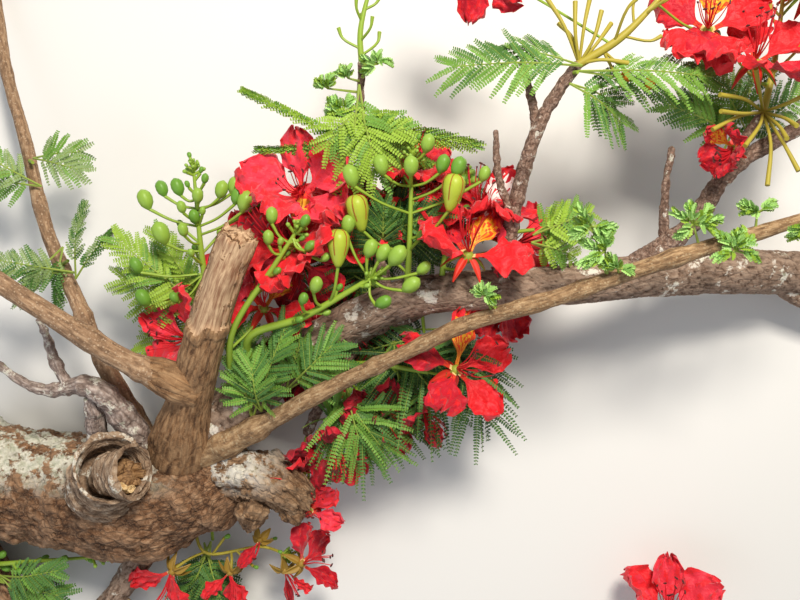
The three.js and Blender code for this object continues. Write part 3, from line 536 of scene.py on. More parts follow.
def knotted(radii, shares, length, knots, seed):
    """Radii with a swelling at each knot. Knots are (spacing in mm, height as a share)."""
    if not knots:
        return radii
    spacing, height = knots
    for i in range(1, int(length / spacing) + 1):
        at = (i + 0.5 * chance(seed, i, 1) - 0.25) * spacing / length
        wide = 0.8 * np.interp(at, shares, radii) / length
        own = height * lerp(0.4, 1, chance(seed, i, 2))
        radii = radii * (1 + own * swelling(shares, at, wide))
    return radii


def lay_along(piece, line, radii, mean):
    """Bends a straight bar along a line, and gives it the line's thicknesses."""
    path = bpy.data.curves.new("path", "CURVE")
    path.dimensions = "3D"
    path.use_stretch = True
    path.use_deform_bounds = True
    path.use_radius = True
    spline = path.splines.new("POLY")
    spline.points.add(len(line) - 1)
    for point, place, radius in zip(spline.points, line, radii):
        point.co = (*((place - MIDDLE) * MM), 1)
        point.radius = radius * MM / mean
    carrier = bpy.data.objects.new("path", path)
    bpy.context.scene.collection.objects.link(carrier)
    bend = piece.modifiers.new("bend", "CURVE")
    bend.object = carrier
    bend.deform_axis = "POS_Z"
    bpy.context.view_layer.objects.active = piece
    bpy.ops.object.modifier_apply(modifier=bend.name)
    bpy.data.objects.remove(carrier)


def limb_bar(
    name, route, face, relief, finish, seed, knots=None, wander=0.0, tip="cut", flare=(0, 1), tear=0
):
    """One limb: a round bar that is given its ends and its bark, and is then laid along its route.

    A flare is how much thicker the foot is, as a share, and how far up that goes, in mm.
    """
    shares = np.linspace(0, 1, 12 * (len(route) - 1) + 1)
    line, along, radii = smooth_line(route, shares)
    length = np.linalg.norm(np.diff(line, axis=0), axis=1).sum()
    radii = knotted(radii, shares, length, knots, seed)
    radii = radii * (1 + flare[0] * swelling(shares * length, 0, flare[1]))
    if wander:
        side, lift = frames_along(along)
        sway = wander * np.sin(shares * length / 31 + seed) * np.sin(np.pi * shares)
        rise = wander * np.sin(shares * length / 23 + 2 * seed) * np.sin(np.pi * shares)
        line = line + side * sway[:, None] + lift * rise[:, None]
    mean = radii.mean() * MM
    piece = bar(name, mean, length * MM, face * MM)
    end = ROUND_END if tip == "round" else FLAT_END
    close_end(piece, length * MM, mean, end, bulge=radii[-1] * MM / mean)
    close_end(piece, 0, mean, ROUND_END, top=False, bulge=radii[0] * MM / mean)
    piece.data.materials.append(finish)
    roughen(piece, relief, 40 * seed)
    keep_grain(piece)
    if tear:
        tear_tip(piece, length * MM, tear, 40 * seed)
    lay_along(piece, line, radii, mean)
    return piece


def join(pieces, name):
    """Makes one piece of several."""
    deselect()
    for piece in pieces:
        piece.select_set(True)
    bpy.context.view_layer.objects.active = pieces[0]
    if len(pieces) > 1:
        bpy.ops.object.join()
    pieces[0].name = name
    pieces[0].data.name = name
    return pieces[0]


def rest_on_floor(piece):
    """Flattens what would reach below the floor."""
    places = point_table(piece)
    places[:, 2] = np.maximum(places[:, 2], FLOOR_SLACK)
    piece.data.vertices.foreach_set("co", places.ravel())
    piece.data.update()


def settle(piece, slot, *nodes):
    """Shades a piece, rests it on the floor, hangs it on the root body and hides the imported parts it
    stands for. The slot is not used.
    """
    deselect()
    piece.select_set(True)
    bpy.context.view_layer.objects.active = piece
    bpy.ops.object.shade_smooth_by_angle(angle=math.radians(60))
    rest_on_floor(piece)
    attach(piece, BODY)
    if nodes:
        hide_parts(*nodes)
    return piece


def finish_faces(piece, finish, chosen):
    """Gives some of a piece's faces a finish of their own."""
    piece.data.materials.append(finish)
    slots = np.zeros(len(piece.data.polygons), np.int32)
    piece.data.polygons.foreach_get("material_index", slots)
    slots[chosen] = len(piece.data.materials) - 1
    piece.data.polygons.foreach_set("material_index", slots)


# A layer of relief is (noise, size in mm, stretch along the limb, height in mm), and lumps come first.
HEAVY_RELIEF = [
    ("BLENDER_ORIGINAL", 58, 1, 18),
    ("BLENDER_ORIGINAL", 17, 1.7, 10),
    ("VORONOI_CRACKLE", 12, 2.2, 3.2),
    ("IMPROVED_PERLIN", 4.5, 1.5, 3.6),
]
TORN_RELIEF = [
    ("BLENDER_ORIGINAL", 24, 1.2, 15),
    ("BLENDER_ORIGINAL", 9, 4, 10),
    ("VORONOI_CRACKLE", 11, 3, 4),
    ("IMPROVED_PERLIN", 4.5, 2.5, 3),
]
STUB_RELIEF = [
    ("BLENDER_ORIGINAL", 26, 2.2, 5),
    ("VORONOI_CRACKLE", 9, 5, 1.2),
    ("IMPROVED_PERLIN", 5, 4, 2),
]
LIMB_RELIEF = [
    ("BLENDER_ORIGINAL", 30, 1.4, 5),
    ("VORONOI_CRACKLE", 9, 2, 1.8),
    ("IMPROVED_PERLIN", 4, 2, 1.8),
]
BOUGH_RELIEF = [("BLENDER_ORIGINAL", 12, 2, 1.8), ("IMPROVED_PERLIN", 3.5, 2, 0.9)]
TWIG_RELIEF = [("BLENDER_ORIGINAL", 9, 1.2, 3), ("IMPROVED_PERLIN", 3.2, 1.1, 1.5)]

# Each limb's slot, face size in mm, relief, bark, other settings, and routes.
LIMBS = {
    "main_limb": (
        "bark", 2.5, HEAVY_RELIEF, HEAVY_BARK, {},
        [
            [-524, -179, 62, 62], [-393, -205, 58, 57], [-285, -216, 66, 66], [-196, -196, 68, 50],
            [-168, -188, 76, 32],
        ],
    ),
    "torn_stub": (
        "bark", 1.9, TORN_RELIEF, TORN_BARK, {"tear": 22},
        [[-200, -191, 84, 24], [-154, -185, 102, 27], [-122, -198, 108, 23], [-98, -219, 98, 15]],
        [[-148, -206, 112, 14], [-158, -230, 102, 10], [-164, -246, 92, 3]],
        [[-122, -206, 112, 11], [-112, -226, 104, 8], [-108, -240, 92, 3]],
    ),
    "upright_stub": (
        "bark", 1.9, STUB_RELIEF, STUB_BARK, {"tear": 32, "flare": (0.12, 50)},
        [
            [-240, -178, 78, 40], [-228, -142, 107, 31], [-215, -105, 134, 22], [-171, 11, 196, 18.5],
            [-141, 72, 225, 18],
        ],
        [[-262, -63, 167, 8], [-240, -73, 162, 14.5], [-221, -82, 160, 18.5], [-203, -92, 148, 17]],
    ),
    "right_limb": (
        "bark", 2.3, LIMB_RELIEF, LIMB_BARK, {},
        [
            [-214, -156, 86, 34], [-115, -65, 112, 21], [0, -1, 134, 20], [152, 14, 136, 19.5],
            [321, 30, 90, 23], [522, 28, 25, 24],
        ],
        [[403, 31, 60, 10], [440, 4, 52, 9], [478, -12, 46, 8]],
    ),
    "front_bough": (
        "young_bark", 1.6, BOUGH_RELIEF, YOUNG_BARK,
        {"knots": (62, 0.34), "flare": (0.3, 30), "wander": 2},
        [
            [-222, -168, 92, 18], [-128, -121, 138, 9.5], [-2, -52, 180, 7], [103, -10, 208, 7.8],
            [261, 41, 234, 7.4], [420, 91, 226, 5],
        ],
    ),
    "left_bough": (
        "young_bark", 1.7, BOUGH_RELIEF, LEFT_BARK, {"knots": (60, 0.15)},
        [
            [-203, -93, 140, 16], [-224, -81, 158, 15], [-264, -62, 169, 11.5], [-338, -13, 184, 10],
            [-434, 50, 190, 8.5],
        ],
    ),
    "rising_bough": (
        "young_bark", 1.7, BOUGH_RELIEF, LEFT_BARK, {"knots": (70, 0.25), "wander": 2},
        [
            [-262, -166, 88, 12], [-313, -51, 118, 8.5], [-364, 50, 98, 7.5], [-430, 215, 48, 6.5],
            [-478, 388, 6, 5.5],
        ],
    ),
    "lower_bough": (
        "bark", 2.0, LIMB_RELIEF, LIMB_BARK, {"flare": (0.25, 24)},
        [[-262, -236, 50, 18], [-306, -312, 42, 13], [-368, -388, 13, 12.5]],
    ),
    "lower_side_bough": (
        "young_bark", 1.8, BOUGH_RELIEF, LEFT_BARK, {"knots": (70, 0.2)},
        [[-325, -337, 36, 9], [-220, -404, 40, 7], [0, -438, 24, 6], [290, -398, 5.5, 5]],
    ),
    "lower_left_stub": (
        "bark", 2.3, LIMB_RELIEF, HEAVY_BARK, {},
        [[-520, -200, 56, 30], [-472, -312, 30, 27], [-436, -356, 24, 24]],
    ),
    "dead_twigs": (
        "bark", 1.5, TWIG_RELIEF, DEAD_BARK, {"tip": "round", "knots": (20, 0.4), "wander": 3},
        [[-266, -158, 96, 12], [-308, -93, 136, 10], [-360, -91, 137, 5.6], [-431, -51, 132, 2.4]],
        [[-316, -164, 92, 11], [-316, -96, 134, 7.5]],
        [[-335, -89, 137, 6], [-357, -50, 133, 4.4], [-369, -19, 136, 2.6]],
    ),
    "under_twig": (
        "bark", 1.7, TWIG_RELIEF, TWIG_BARK, {"tip": "round", "knots": (26, 0.25)},
        [[33, -4, 130, 9], [-37, -38, 106, 6.5], [-72, -86, 100, 6.5], [-102, -147, 78, 5]],
    ),
    "crotch_twig": (
        "bark", 1.7, TWIG_RELIEF, TWIG_BARK, {"tip": "round", "knots": (26, 0.25)},
        [[-136, -76, 106, 8], [-166, -40, 104, 7], [-202, 2, 112, 6]],
    ),
    "centre_twig": (
        "bark", 1.4, TWIG_RELIEF, TWIG_BARK, {"tip": "round", "knots": (26, 0.3)},
        [[-12, 0, 134, 7], [-28, 80, 144, 4.6], [-39, 190, 150, 3.8], [-38, 238, 156, 3.4]],
    ),
    "upper_left_bough": (
        "bark", 1.4, TWIG_RELIEF, TWIG_BARK, {"tip": "round", "knots": (13, 0.36), "wander": 1.6},
        [[101, 14, 140, 8.5], [113, 85, 166, 6.4], [132, 168, 184, 5.6], [169, 225, 198, 4.8]],
        [[131, 163, 183, 4.6], [127, 199, 179, 3.8], [118, 234, 180, 2.8]],
        [[111, 80, 165, 4.4], [98, 117, 176, 3.4], [92, 164, 182, 2.6]],
    ),
    "upper_right_bough": (
        "bark", 1.4, TWIG_RELIEF, TWIG_BARK, {"tip": "round", "knots": (13, 0.36), "wander": 1.6},
        [[228, 20, 116, 11], [291, 74, 142, 7.8], [320, 124, 165, 7.2], [420, 184, 174, 6]],
        [[324, 127, 166, 6], [351, 181, 180, 4.6]],
        [[269, 62, 132, 4.6], [268, 124, 149, 3.4], [270, 153, 156, 3.2]],
    ),
}
FLAP_TEAR = 0.3  # how deep a torn flap's own tip is torn, as a share of its stub's
BARE_SPAN = LIMBS["upright_stub"][5][2:]  # the stretch of the upright stub whose upper half is bare
BARE_DEPTH = 2.4  # mm
LIP_HEIGHT = 1.6  # mm, of the bark's torn edge


def make_limbs():
    for seed, (name, (slot, face, relief, finish, settings, *routes)) in enumerate(LIMBS.items(), 1):
        bars = []
        for i, route in enumerate(routes):
            own = settings | {"tear": settings.get("tear", 0) * (FLAP_TEAR if i else 1)}
            bars.append(limb_bar(f"{name}_{i}", route, face, relief, finish, seed + 0.3 * i, **own))
        piece = join(bars, f"{name}_bark")
        if name == "upright_stub":
            strip_panel(piece)
        settle(piece, slot, name)


def strip_panel(piece):
    """The bark is gone from the front of the upright stub's upper half: the wood there is sunk and smooth."""
    middles, normals = face_table(piece)
    points = middles / MM + MIDDLE
    foot, tip = (np.array(BARE_SPAN[i], float)[:3] for i in (0, -1))
    share = (points - foot) @ (tip - foot) / ((tip - foot) @ (tip - foot))
    rim = 0.46 + 0.012 * np.sin(points[:, 0] / 3) + 0.03 * np.sin(points[:, 0] / 9 + 2)
    chosen = (share > rim) & (normals[:, 2] > 0.32 + 0.16 * np.sin(share * 24))
    lip = (np.abs(share - rim + 0.02) < 0.02) & (normals[:, 2] > -0.2)
    finish_faces(piece, BARE_WOOD, chosen | (share > 0.95))
    for faces, push in ((chosen, -BARE_DEPTH), (lip, LIP_HEIGHT)):
        select_faces(piece, faces)
        bpy.ops.transform.shrink_fatten(value=push * MM)
        bpy.ops.object.mode_set(mode="OBJECT")
    select_faces(piece, chosen)
    bpy.ops.mesh.vertices_smooth(factor=0.5, repeat=14)
    bpy.ops.object.mode_set(mode="OBJECT")


# The rotted stub: a wide sleeve of ringed bark, and the roll of bark that lies in it. Each has its foot, its
# mouth, its radii up from the foot, and its rings: how far up, how high (a share of the radius) and how wide.
SLEEVES = {
    "hollow_sleeve": (
        [-316, -201, 98], [-288, -167, 152], [(0, 38), (30, 33), (70, 35)],
        [
            (16, 0.12, 6), (30, 0.2, 4), (40, -0.08, 4), (49, 0.08, 3), (57, -0.05, 3), (64, 0.06, 3),
            (71, 0.1, 3),
        ],
    ),
    "hollow_roll": (
        [-306, -179, 135], [-262, -170, 158], [(0, 17), (24, 23), (50, 26)],
        [(14, 0.08, 4), (26, -0.05, 4), (36, 0.05, 4), (47, 0.08, 4)],
    ),
}
SLEEVE_WALL = 0.11  # as a share of the radius
HOLLOW_DEPTH = 0.55  # as a share of the length
HOLLOW_STEPS = 16
SPLINTERS = 6
SLEEVE_RELIEF = [
    ("BLENDER_ORIGINAL", 30, 0.8, 7),
    ("BLENDER_ORIGINAL", 14, 0.25, 5),
    ("IMPROVED_PERLIN", 4, 0.5, 1.6),
]


def bark_sleeve(name, foot, mouth, profile, rings):
    """A sleeve of ringed bark, hollow from its mouth downwards."""
    foot, mouth = np.array(foot, float), np.array(mouth, float)
    way = unit(mouth - foot)
    route = [[*(foot + way * up), radius] for up, radius in profile]
    line, _, radii = smooth_line(route, np.linspace(0, 1, 61))
    up = (line - foot) @ way
    for place, height, wide in rings:
        radii = radii * (1 + height * swelling(up, place, wide))
    length, mean = up[-1] * MM, radii.mean() * MM
    sleeve = bar(name, mean, length, 1.8 * MM)
    select_faces(sleeve, end_faces(sleeve, length))
    bpy.ops.mesh.inset(thickness=SLEEVE_WALL * mean)
    down = {"value": (0, 0, -HOLLOW_DEPTH * length / HOLLOW_STEPS)}
    for _ in range(HOLLOW_STEPS):
        bpy.ops.mesh.extrude_region_move(TRANSFORM_OT_translate=down)
    bpy.ops.object.mode_set(mode="OBJECT")
    sleeve.data.materials.append(SLEEVE_BARK)
    roughen(sleeve, SLEEVE_RELIEF, 5)
    keep_grain(sleeve)
    lay_along(sleeve, line, radii, mean)
    return sleeve


def make_hollow_stub():
    """The stub of a bough that has rotted out: rolled bark with its broken wood inside."""
    sleeves = [bark_sleeve(name, *shape) for name, shape in SLEEVES.items()]
    settle(join(sleeves, "hollow_sleeve"), "bark", "hollow_stub")

    foot, mouth = (np.array(place, float) for place in SLEEVES["hollow_roll"][:2])
    way = unit(mouth - foot)
    right = np.array([1.0, -0.2, 0])
    right = unit(right - way * (way @ right))
    below = np.cross(right, way)
    core = [[*(foot + way * up + right * 4), radius] for up, radius in ((4, 13), (28, 15), (41, 13))]
    bars = [limb_bar("hollow_core", core, 1.3, STUB_RELIEF, BROKEN_WOOD, 3, tear=18)]
    for i in range(SPLINTERS):
        angle = lerp(-1.7, 0.9, i / (SPLINTERS - 1))
        out = turned(right, below, -angle)
        low = foot + way * 20 + out * lerp(13, 17, chance(i, 1))
        tip = low + way * lerp(22, 31, chance(i, 2)) + out * 1.5
        wood = SPLINTER_WOOD if angle < -0.2 else BROKEN_WOOD
        route = [[*low, 4.6], [*tip, 3]]
        bars.append(limb_bar(f"hollow_shard_{i}", route, 1.1, STUB_RELIEF, wood, i, tear=11))
    settle(join(bars, "hollow_stub_wood"), "bark")


# Small growth, gathered into one mesh for each kind

class Gathering:
    """Many small shapes of one kind, which become one mesh."""

    def __init__(self, name, slot, finishes):
        self.name, self.slot, self.finishes = name, slot, finishes
        self.points, self.faces, self.skins, self.total = [], [], [], 0

    def add(self, points, faces, skins=0):
        points = np.asarray(points, float).reshape(-1, 3)
        faces = np.asarray(faces, np.int64)
        self.points.append(points)
        self.faces.append(faces + self.total)
        self.skins.append(np.broadcast_to(skins, len(faces)))
        self.total += len(points)

    def make(self, *nodes):
        points = (np.concatenate(self.points) - MIDDLE) * MM
        corners = np.concatenate([faces.ravel() for faces in self.faces])
        sizes = np.concatenate([np.full(len(faces), faces.shape[1]) for faces in self.faces])
        mesh = bpy.data.meshes.new(self.name)
        mesh.vertices.add(len(points))
        mesh.vertices.foreach_set("co", points.astype(np.float32).ravel())
        mesh.loops.add(len(corners))
        mesh.loops.foreach_set("vertex_index", corners.astype(np.int32))
        mesh.polygons.add(len(sizes))
        mesh.polygons.foreach_set("loop_start", (np.cumsum(sizes) - sizes).astype(np.int32))
        mesh.polygons.foreach_set("material_index", np.concatenate(self.skins).astype(np.int32))
        for finish in self.finishes:
            mesh.materials.append(finish)
        mesh.update(calc_edges=True)
        mesh.validate()
        piece = bpy.data.objects.new(self.name, mesh)
        bpy.context.scene.collection.objects.link(piece)
        return settle(piece, self.slot, *nodes)


def tube_faces(rings, sides):
    """The faces of a tube with a closed foot and tip, ring after ring."""
    ring, side = np.meshgrid(np.arange(rings - 1), np.arange(sides), indexing="ij")
    here, there = ring * sides + side, ring * sides + (side + 1) % sides
    walls = np.stack([here, there, there + sides, here + sides], -1).reshape(-1, 4)
    turn = np.arange(1, sides - 1)
    foot = np.stack([np.zeros_like(turn), turn + 1, turn], -1)
    tip = np.stack([np.zeros_like(turn), turn, turn + 1], -1) + (rings - 1) * sides
    return walls, np.vstack([foot, tip])


def tube(gathering, route, sides=5, per_span=4, skin=0, ridge=0.0):
    """A stem along a route. A ridge is how far its five ribs stand out, as a share of the radius."""
    shares = np.linspace(0, 1, per_span * (len(route) - 1) + 1)
    line, along, radii = smooth_line(route, shares)
    side, lift = frames_along(along)
    angle = np.arange(sides) * 2 * math.pi / sides
    radii = radii[:, None] * (1 + ridge * np.cos(5 * angle))
    out = side[:, None] * np.cos(angle)[None, :, None] + lift[:, None] * np.sin(angle)[None, :, None]
    points = line[:, None] + out * radii[..., None]
    walls, caps = tube_faces(len(shares), sides)
    gathering.add(points, walls, skin)
    gathering.faces.append(caps + gathering.total - len(shares) * sides)
    gathering.skins.append(np.full(len(caps), skin))


def blade_grid(root, along, face, far, across, rise):
    """A blade's grid of points, by how far each lies along the blade, across it and out of its face."""
    along = unit(along)
    face = unit(face - along * (face @ along))
    side = np.cross(face, along)
    return np.asarray(root) + along * far[..., None] + side * across[..., None] + face * rise[..., None]


def closed_sheet(gathering, grid, thickness, skins_front, skins_back=None):
    """A thin closed sheet from a grid of points, with its own skins on its two sides."""
    rows, columns = grid.shape[:2]
    along, across = np.gradient(grid, axis=0), np.gradient(grid, axis=1)
    normal = unit(np.cross(along, across) + 1e-9)
    points = np.stack([grid + normal * thickness / 2, grid - normal * thickness / 2])
    front, back = np.arange(2 * rows * columns).reshape(2, rows, columns)
    quads = np.stack([front[:-1, :-1], front[1:, :-1], front[1:, 1:], front[:-1, 1:]], -1).reshape(-1, 4)
    under = np.stack([back[:-1, :-1], back[:-1, 1:], back[1:, 1:], back[1:, :-1]], -1).reshape(-1, 4)
    rims = [np.concatenate([s[:-1, 0], s[-1, :-1], s[:0:-1, -1], s[0, :0:-1]]) for s in (front, back)]
    rim = np.stack([*rims, *(np.roll(side, -1) for side in rims[::-1])], -1)
    skins_back = skins_front if skins_back is None else skins_back
    rim_skin = np.full(len(rim), np.ravel(skins_front)[-1])
    skins = np.concatenate([np.ravel(skins_front), np.ravel(skins_back), rim_skin])
    gathering.add(points, np.vstack([quads, under, rim]), skins)


YOUNG_STALK, OLD_STALK = range(2)  # the skins of raceme_stems
THIN_STALK, THICK_STALK = range(2)  # the skins of leaf_stems

petals = Gathering("petals", "petal", PETAL_SKINS)
inner_petals = Gathering("inner_petals", "petal", PETAL_SKINS)
sepals = Gathering("calyxes", "petal", SEPAL_SKINS)
stamens = Gathering("stamens", "petal", STAMEN_SKINS)
stems = Gathering("raceme_stems", "green_stem", [GREEN_STEM, OLIVE_STEM])
buds = Gathering("buds", "green_stem", BUD_SKINS)
leaf_stems = Gathering("leaf_stems", "leaf", [LEAF_STALK, GREEN_STEM])
leaflets = Gathering("leaflets", "leaf", list(LEAF_TINTS.values()))
inner_leaflets = Gathering("inner_leaflets", "leaf", list(LEAF_TINTS.values()))
shoots = Gathering("shoot_leaflets", "leaf", list(LEAF_TINTS.values()))


# Petals and blooms

PETAL_ROWS, PETAL_COLUMNS = 24, 19
SEPAL_ROWS, SEPAL_COLUMNS = 9, 5
CLAW_WIDTH = 0.13  # as a share of the blade's
FRILL = 0.05  # the crimp of the margin, as a share of the petal's length
FAN_FOLDS = 0.03  # the folds that run out from the claw
CRUMPLE = 0.024


def petal(gathering, root, along, face, length, width, seed, style, fold=0.0):
    """A petal: a narrow claw that widens to a round blade with a crimped margin and a crumpled face.

    In the sums, s is the share along it and w the share across it, from -1 to 1.
    """
    s = np.linspace(0, 0.99, PETAL_ROWS)[:, None]
    w = np.linspace(-1, 1, PETAL_COLUMNS)[None, :]
    rim_turn = np.clip(s - 0.58, 0, 1) / 0.42
    half = lerp(CLAW_WIDTH, 1, step_up(0.18, 0.58, s)) * np.clip(1 - rim_turn**2, 0, 1) ** 0.42
    half = half * (1 + 0.05 * np.sin(31 * s + 9 * chance(seed, 1)))
    blade = step_up(0.2, 0.6, s)
    rim = np.maximum(np.abs(w) ** 3, step_up(0.72, 1, s) ** 2)
    phase = [2 * math.pi * chance(seed, 2 + i) for i in range(10)]
    turn = np.sign(w)
    frill = np.sin(30 * s + 3.1 * turn + phase[0]) + 0.8 * np.sin(12 * w + 17 * s + phase[1])
    fan = np.sin(7.5 * w + phase[8]) + 0.6 * np.sin(15 * w + 2 * s + phase[9])
    crumple = (
        np.sin(11 * w + 7 * s + phase[2])
        + 0.8 * np.sin(16 * s - 8 * w + phase[3])
        + 0.6 * np.sin(23 * s + 17 * w + phase[4])
        + 0.45 * np.sin(24 * w - 15 * s + phase[5])
    )
    ripple = blade * (FRILL * rim * frill + FAN_FOLDS * s * fan + CRUMPLE * crumple)
    sway = 0.08 * blade * np.sin(3.2 * s + 1.6 * w + phase[6])
    cup = 0.12 * (1 - 2 * fold) * blade * w**2 * math.cos(phase[7])
    bend = length * (-PETAL_CURL * s**2 * lerp(0.3, 1.5, chance(seed, 20)) + ripple + sway + cup)
    angle = fold * math.pi * 0.8 * np.abs(w)
    across = half * width / 2 * turn * np.abs(w) * np.cos(angle * 0.6)
    lift = half * width / 2 * np.abs(w) * np.sin(angle * 0.6)
    s_long = s * (1 + 0.04 * np.sin(7 * w + phase[0]) * step_up(0.6, 1, s))
    grid = blade_grid(root, along, face, s_long * length, across, bend + lift)
    closed_sheet(gathering, grid, PETAL_THICKNESS, petal_skins(s, w, crumple, seed, style))


def petal_skins(s, w, crumple, seed, style):
    """The skin of each cell: pale at the claw, then red with a paler red painted on the crumple's crests as
    highlight, or the streaks of a standard.
    """
    s, w = (s[:-1] + s[1:]) / 2, (w[:, :-1] + w[:, 1:]) / 2
    crest = (crumple[:-1, :-1] + crumple[1:, 1:]) / 2
    rows, columns = len(s), w.shape[1]
    noise = chance(seed, np.arange(rows)[:, None] + 0.5, np.arange(columns)[None, :] + 0.5)
    blades = BLADES.get(style, BLADES["red"])
    blade, pale = blades[0] if chance(seed, 50) < 0.65 else blades[1]
    # Painted highlight: the crests of the crumple take the paler skin.
    skins = np.where(crest + s > 1.3, pale, blade)
    skins[np.broadcast_to(s < 0.1, skins.shape)] = THROAT
    skins[(s < 0.2) & (s >= 0.1) & (noise < 0.5)] = ORANGE
    if style in ("yellow", "white"):
        pale = YELLOW if style == "yellow" else WHITE
        reach = 0.95 - 0.25 * np.abs(w) - 0.18 * noise
        streak = np.abs((w * 4 + 0.5 * np.sin(5 * s)) % 1 - 0.5) < 0.13
        inside = s < reach
        skins = np.where(inside & ~streak, pale, skins)
        if style == "yellow":
            skins = np.where(inside & (streak | (noise < 0.25)), ORANGE, skins)
    return skins


def sepal(root, along, face, length, olive):
    """A sepal: a thick pointed blade, green outside and red within."""
    s = np.linspace(0, 1, SEPAL_ROWS)[:, None]
    w = np.linspace(-1, 1, SEPAL_COLUMNS)[None, :]
    half = SEPAL_WIDTH / 2 * (0.55 + 0.6 * np.sin(math.pi * s**0.8)) * np.sqrt(np.clip(1.02 - s, 0, 1))
    bend = -0.12 * length * s**2 + 0.8 * (w**2) * half
    grid = blade_grid(root, along, face, s * length, half * w, bend)
    skins = (OLIVE, OLIVE) if olive else (RED_INSIDE, GREEN_OUTSIDE)
    cells = (SEPAL_ROWS - 1, SEPAL_COLUMNS - 1)
    closed_sheet(sepals, grid, SEPAL_THICKNESS, *(np.full(cells, skin) for skin in skins))


# A bloom's cup and an anther, as (how far along, radius) in mm and in shares of an anther's length.
CUP = ((-13.5, 1.8), (-11, 4.6), (-7, 5.9), (-2, 5), (0, 2.5))
ANTHER_SHAPE = ((-0.5, 0.3), (-0.25, 1.0), (0.25, 1.0), (0.5, 0.3))


def bloom(
    gathering, on, at, throat, face, roll, opening,
    scale=1, seed=1, style="red", olive=False, fold=0.0, narrow=1.0, lost=(),
):
    """One bloom on its stalk, by the model's own rule. Petal 0 is the standard.

    The roll about its axis and the opening of its petals are in degrees. An old bloom has an olive calyx.
    Fold is how far each petal is rolled in, narrow its width as a share, and lost which petals have fallen.
    """
    axis = unit(face)
    upright = np.array([math.cos(math.radians(roll)), math.sin(math.radians(roll)), 0])
    first = unit(upright - axis * (upright @ axis))
    second = np.cross(axis, first)
    centre = np.array(throat, float)
    root = point_on(on, at)
    foot = centre + axis * (4 - CUP_DEPTH) * scale
    knee = lerp(root, foot, 0.55) - axis * 6 * scale
    stalk = [[*root, STALK_RADIUS], [*knee, STALK_RADIUS], [*foot, STALK_RADIUS * 1.5]]
    tube(stems, stalk, 6, 6, OLD_STALK if olive else YOUNG_STALK)
    cup = [[*(centre + axis * (deep * scale)), r * scale] for deep, r in CUP]
    tube(sepals, cup, 10, 2, OLIVE if olive else GREEN_OUTSIDE)

    reflex = math.radians(opening - SEPAL_LAG)
    for i in range(PETALS):
        out = turned(first, second, math.pi * (2 * i + 1) / PETALS)
        way = turned(out, -axis, reflex)
        seat = centre - axis * 7 * scale + out * 4 * scale
        sepal(seat, way, np.cross(np.cross(way, axis), way), SEPAL_LENGTH * scale, olive)

    for i in (i for i in range(PETALS) if i not in lost):
        out = turned(first, second, i * 2 * math.pi / PETALS + 0.25 * (chance(seed, i, 2) - 0.5))
        angle = math.radians(opening * (0.75 if i == 0 else lerp(0.8, 1.2, chance(seed, i, 3))))
        size = scale * lerp(0.9, 1.08, chance(seed, i, 4))
        way, normal = turned(axis, out, angle), turned(axis, out, angle - math.pi / 2)
        wide = PETAL_WIDTH * size * narrow * (0.7 if i == 0 else 1)
        look = "red" if i and style in ("yellow", "white") else style
        seat = centre - axis * 5 * scale + out * 2.6 * scale
        petal(gathering, seat, way, normal, PETAL_LENGTH * size, wide, seed * 10 + i, look, fold)

    for i in range(STAMENS - 2 * len(lost)):
        out = turned(first, second, i * 2 * math.pi / STAMENS + chance(seed, i, 8))
        spread = lerp(0.1, 0.42, chance(seed, i, 9))
        start = centre + out * 1.5 * scale
        reach = axis * lerp(0.75, 1.05, chance(seed, i, 10)) + out * spread - first * 0.2
        tip = centre + reach * STAMEN_LENGTH * scale
        knee = lerp(start, tip, 0.5) - first * 5 * scale
        tube(stamens, [[*start, 0.75], [*knee, 0.6], [*tip, 0.45]], 4, 4, FILAMENT)
        way = unit(np.cross(axis, out) + 0.4 * axis)
        anther = [[*(tip + way * ANTHER_LENGTH * far), r] for far, r in ANTHER_SHAPE]
        tube(stamens, anther, 5, 1, ANTHER)


# The racemes' stems.
STEMS = {
    "raceme_left": [[-200, -4, 112, 3.6], [-204, 50, 127, 3], [-210, 139, 138, 1.4]],
    "raceme_centre": [[5, 2, 138, 3.4], [8, 30, 166, 3.2], [12, 148, 184, 1.5]],
    "raceme_front": [[-146, -92, 108, 4.2], [-150, -38, 156, 4.2], [-93, -16, 176, 3.6], [-17, 27, 192, 2.2]],
    "raceme_mid_left": [
        [-172, -114, 102, 3.6], [-164, -34, 172, 3.2], [-119, 33, 194, 2.6], [-94, 70, 200, 1.6],
    ],
    "raceme_right": [[41, 6, 138, 3.2], [44, 38, 148, 3], [68, 131, 132, 1.6]],
    "raceme_under": [[-62, -68, 104, 3], [-31, -66, 118, 2.8], [29, -74, 130, 2.4]],
    "raceme_top": [[-38, 232, 155, 3.2], [-39, 267, 160, 2.8], [-24, 325, 165, 1.4]],
    "raceme_tip_left": [[166, 221, 197, 4.4], [206, 245, 206, 3.8], [246, 285, 210, 2]],
    "raceme_tip_right": [[350, 178, 179, 4], [361, 223, 178, 3.2], [372, 309, 180, 1.6]],
    "raceme_bottom": [
        [-232, -236, 48, 2], [-219, -281, 50, 1.8], [-152, -272, 62, 1.6], [-122, -280, 66, 1.4],
    ],
    "raceme_low_left": [[-484, -304, 34, 3], [-446, -292, 60, 2.8], [-319, -280, 70, 1.5]],
}
OLD_RACEMES = ("raceme_tip_left", "raceme_tip_right", "raceme_bottom")
ROUTES = {name: limb[5] for name, limb in LIMBS.items()} | STEMS

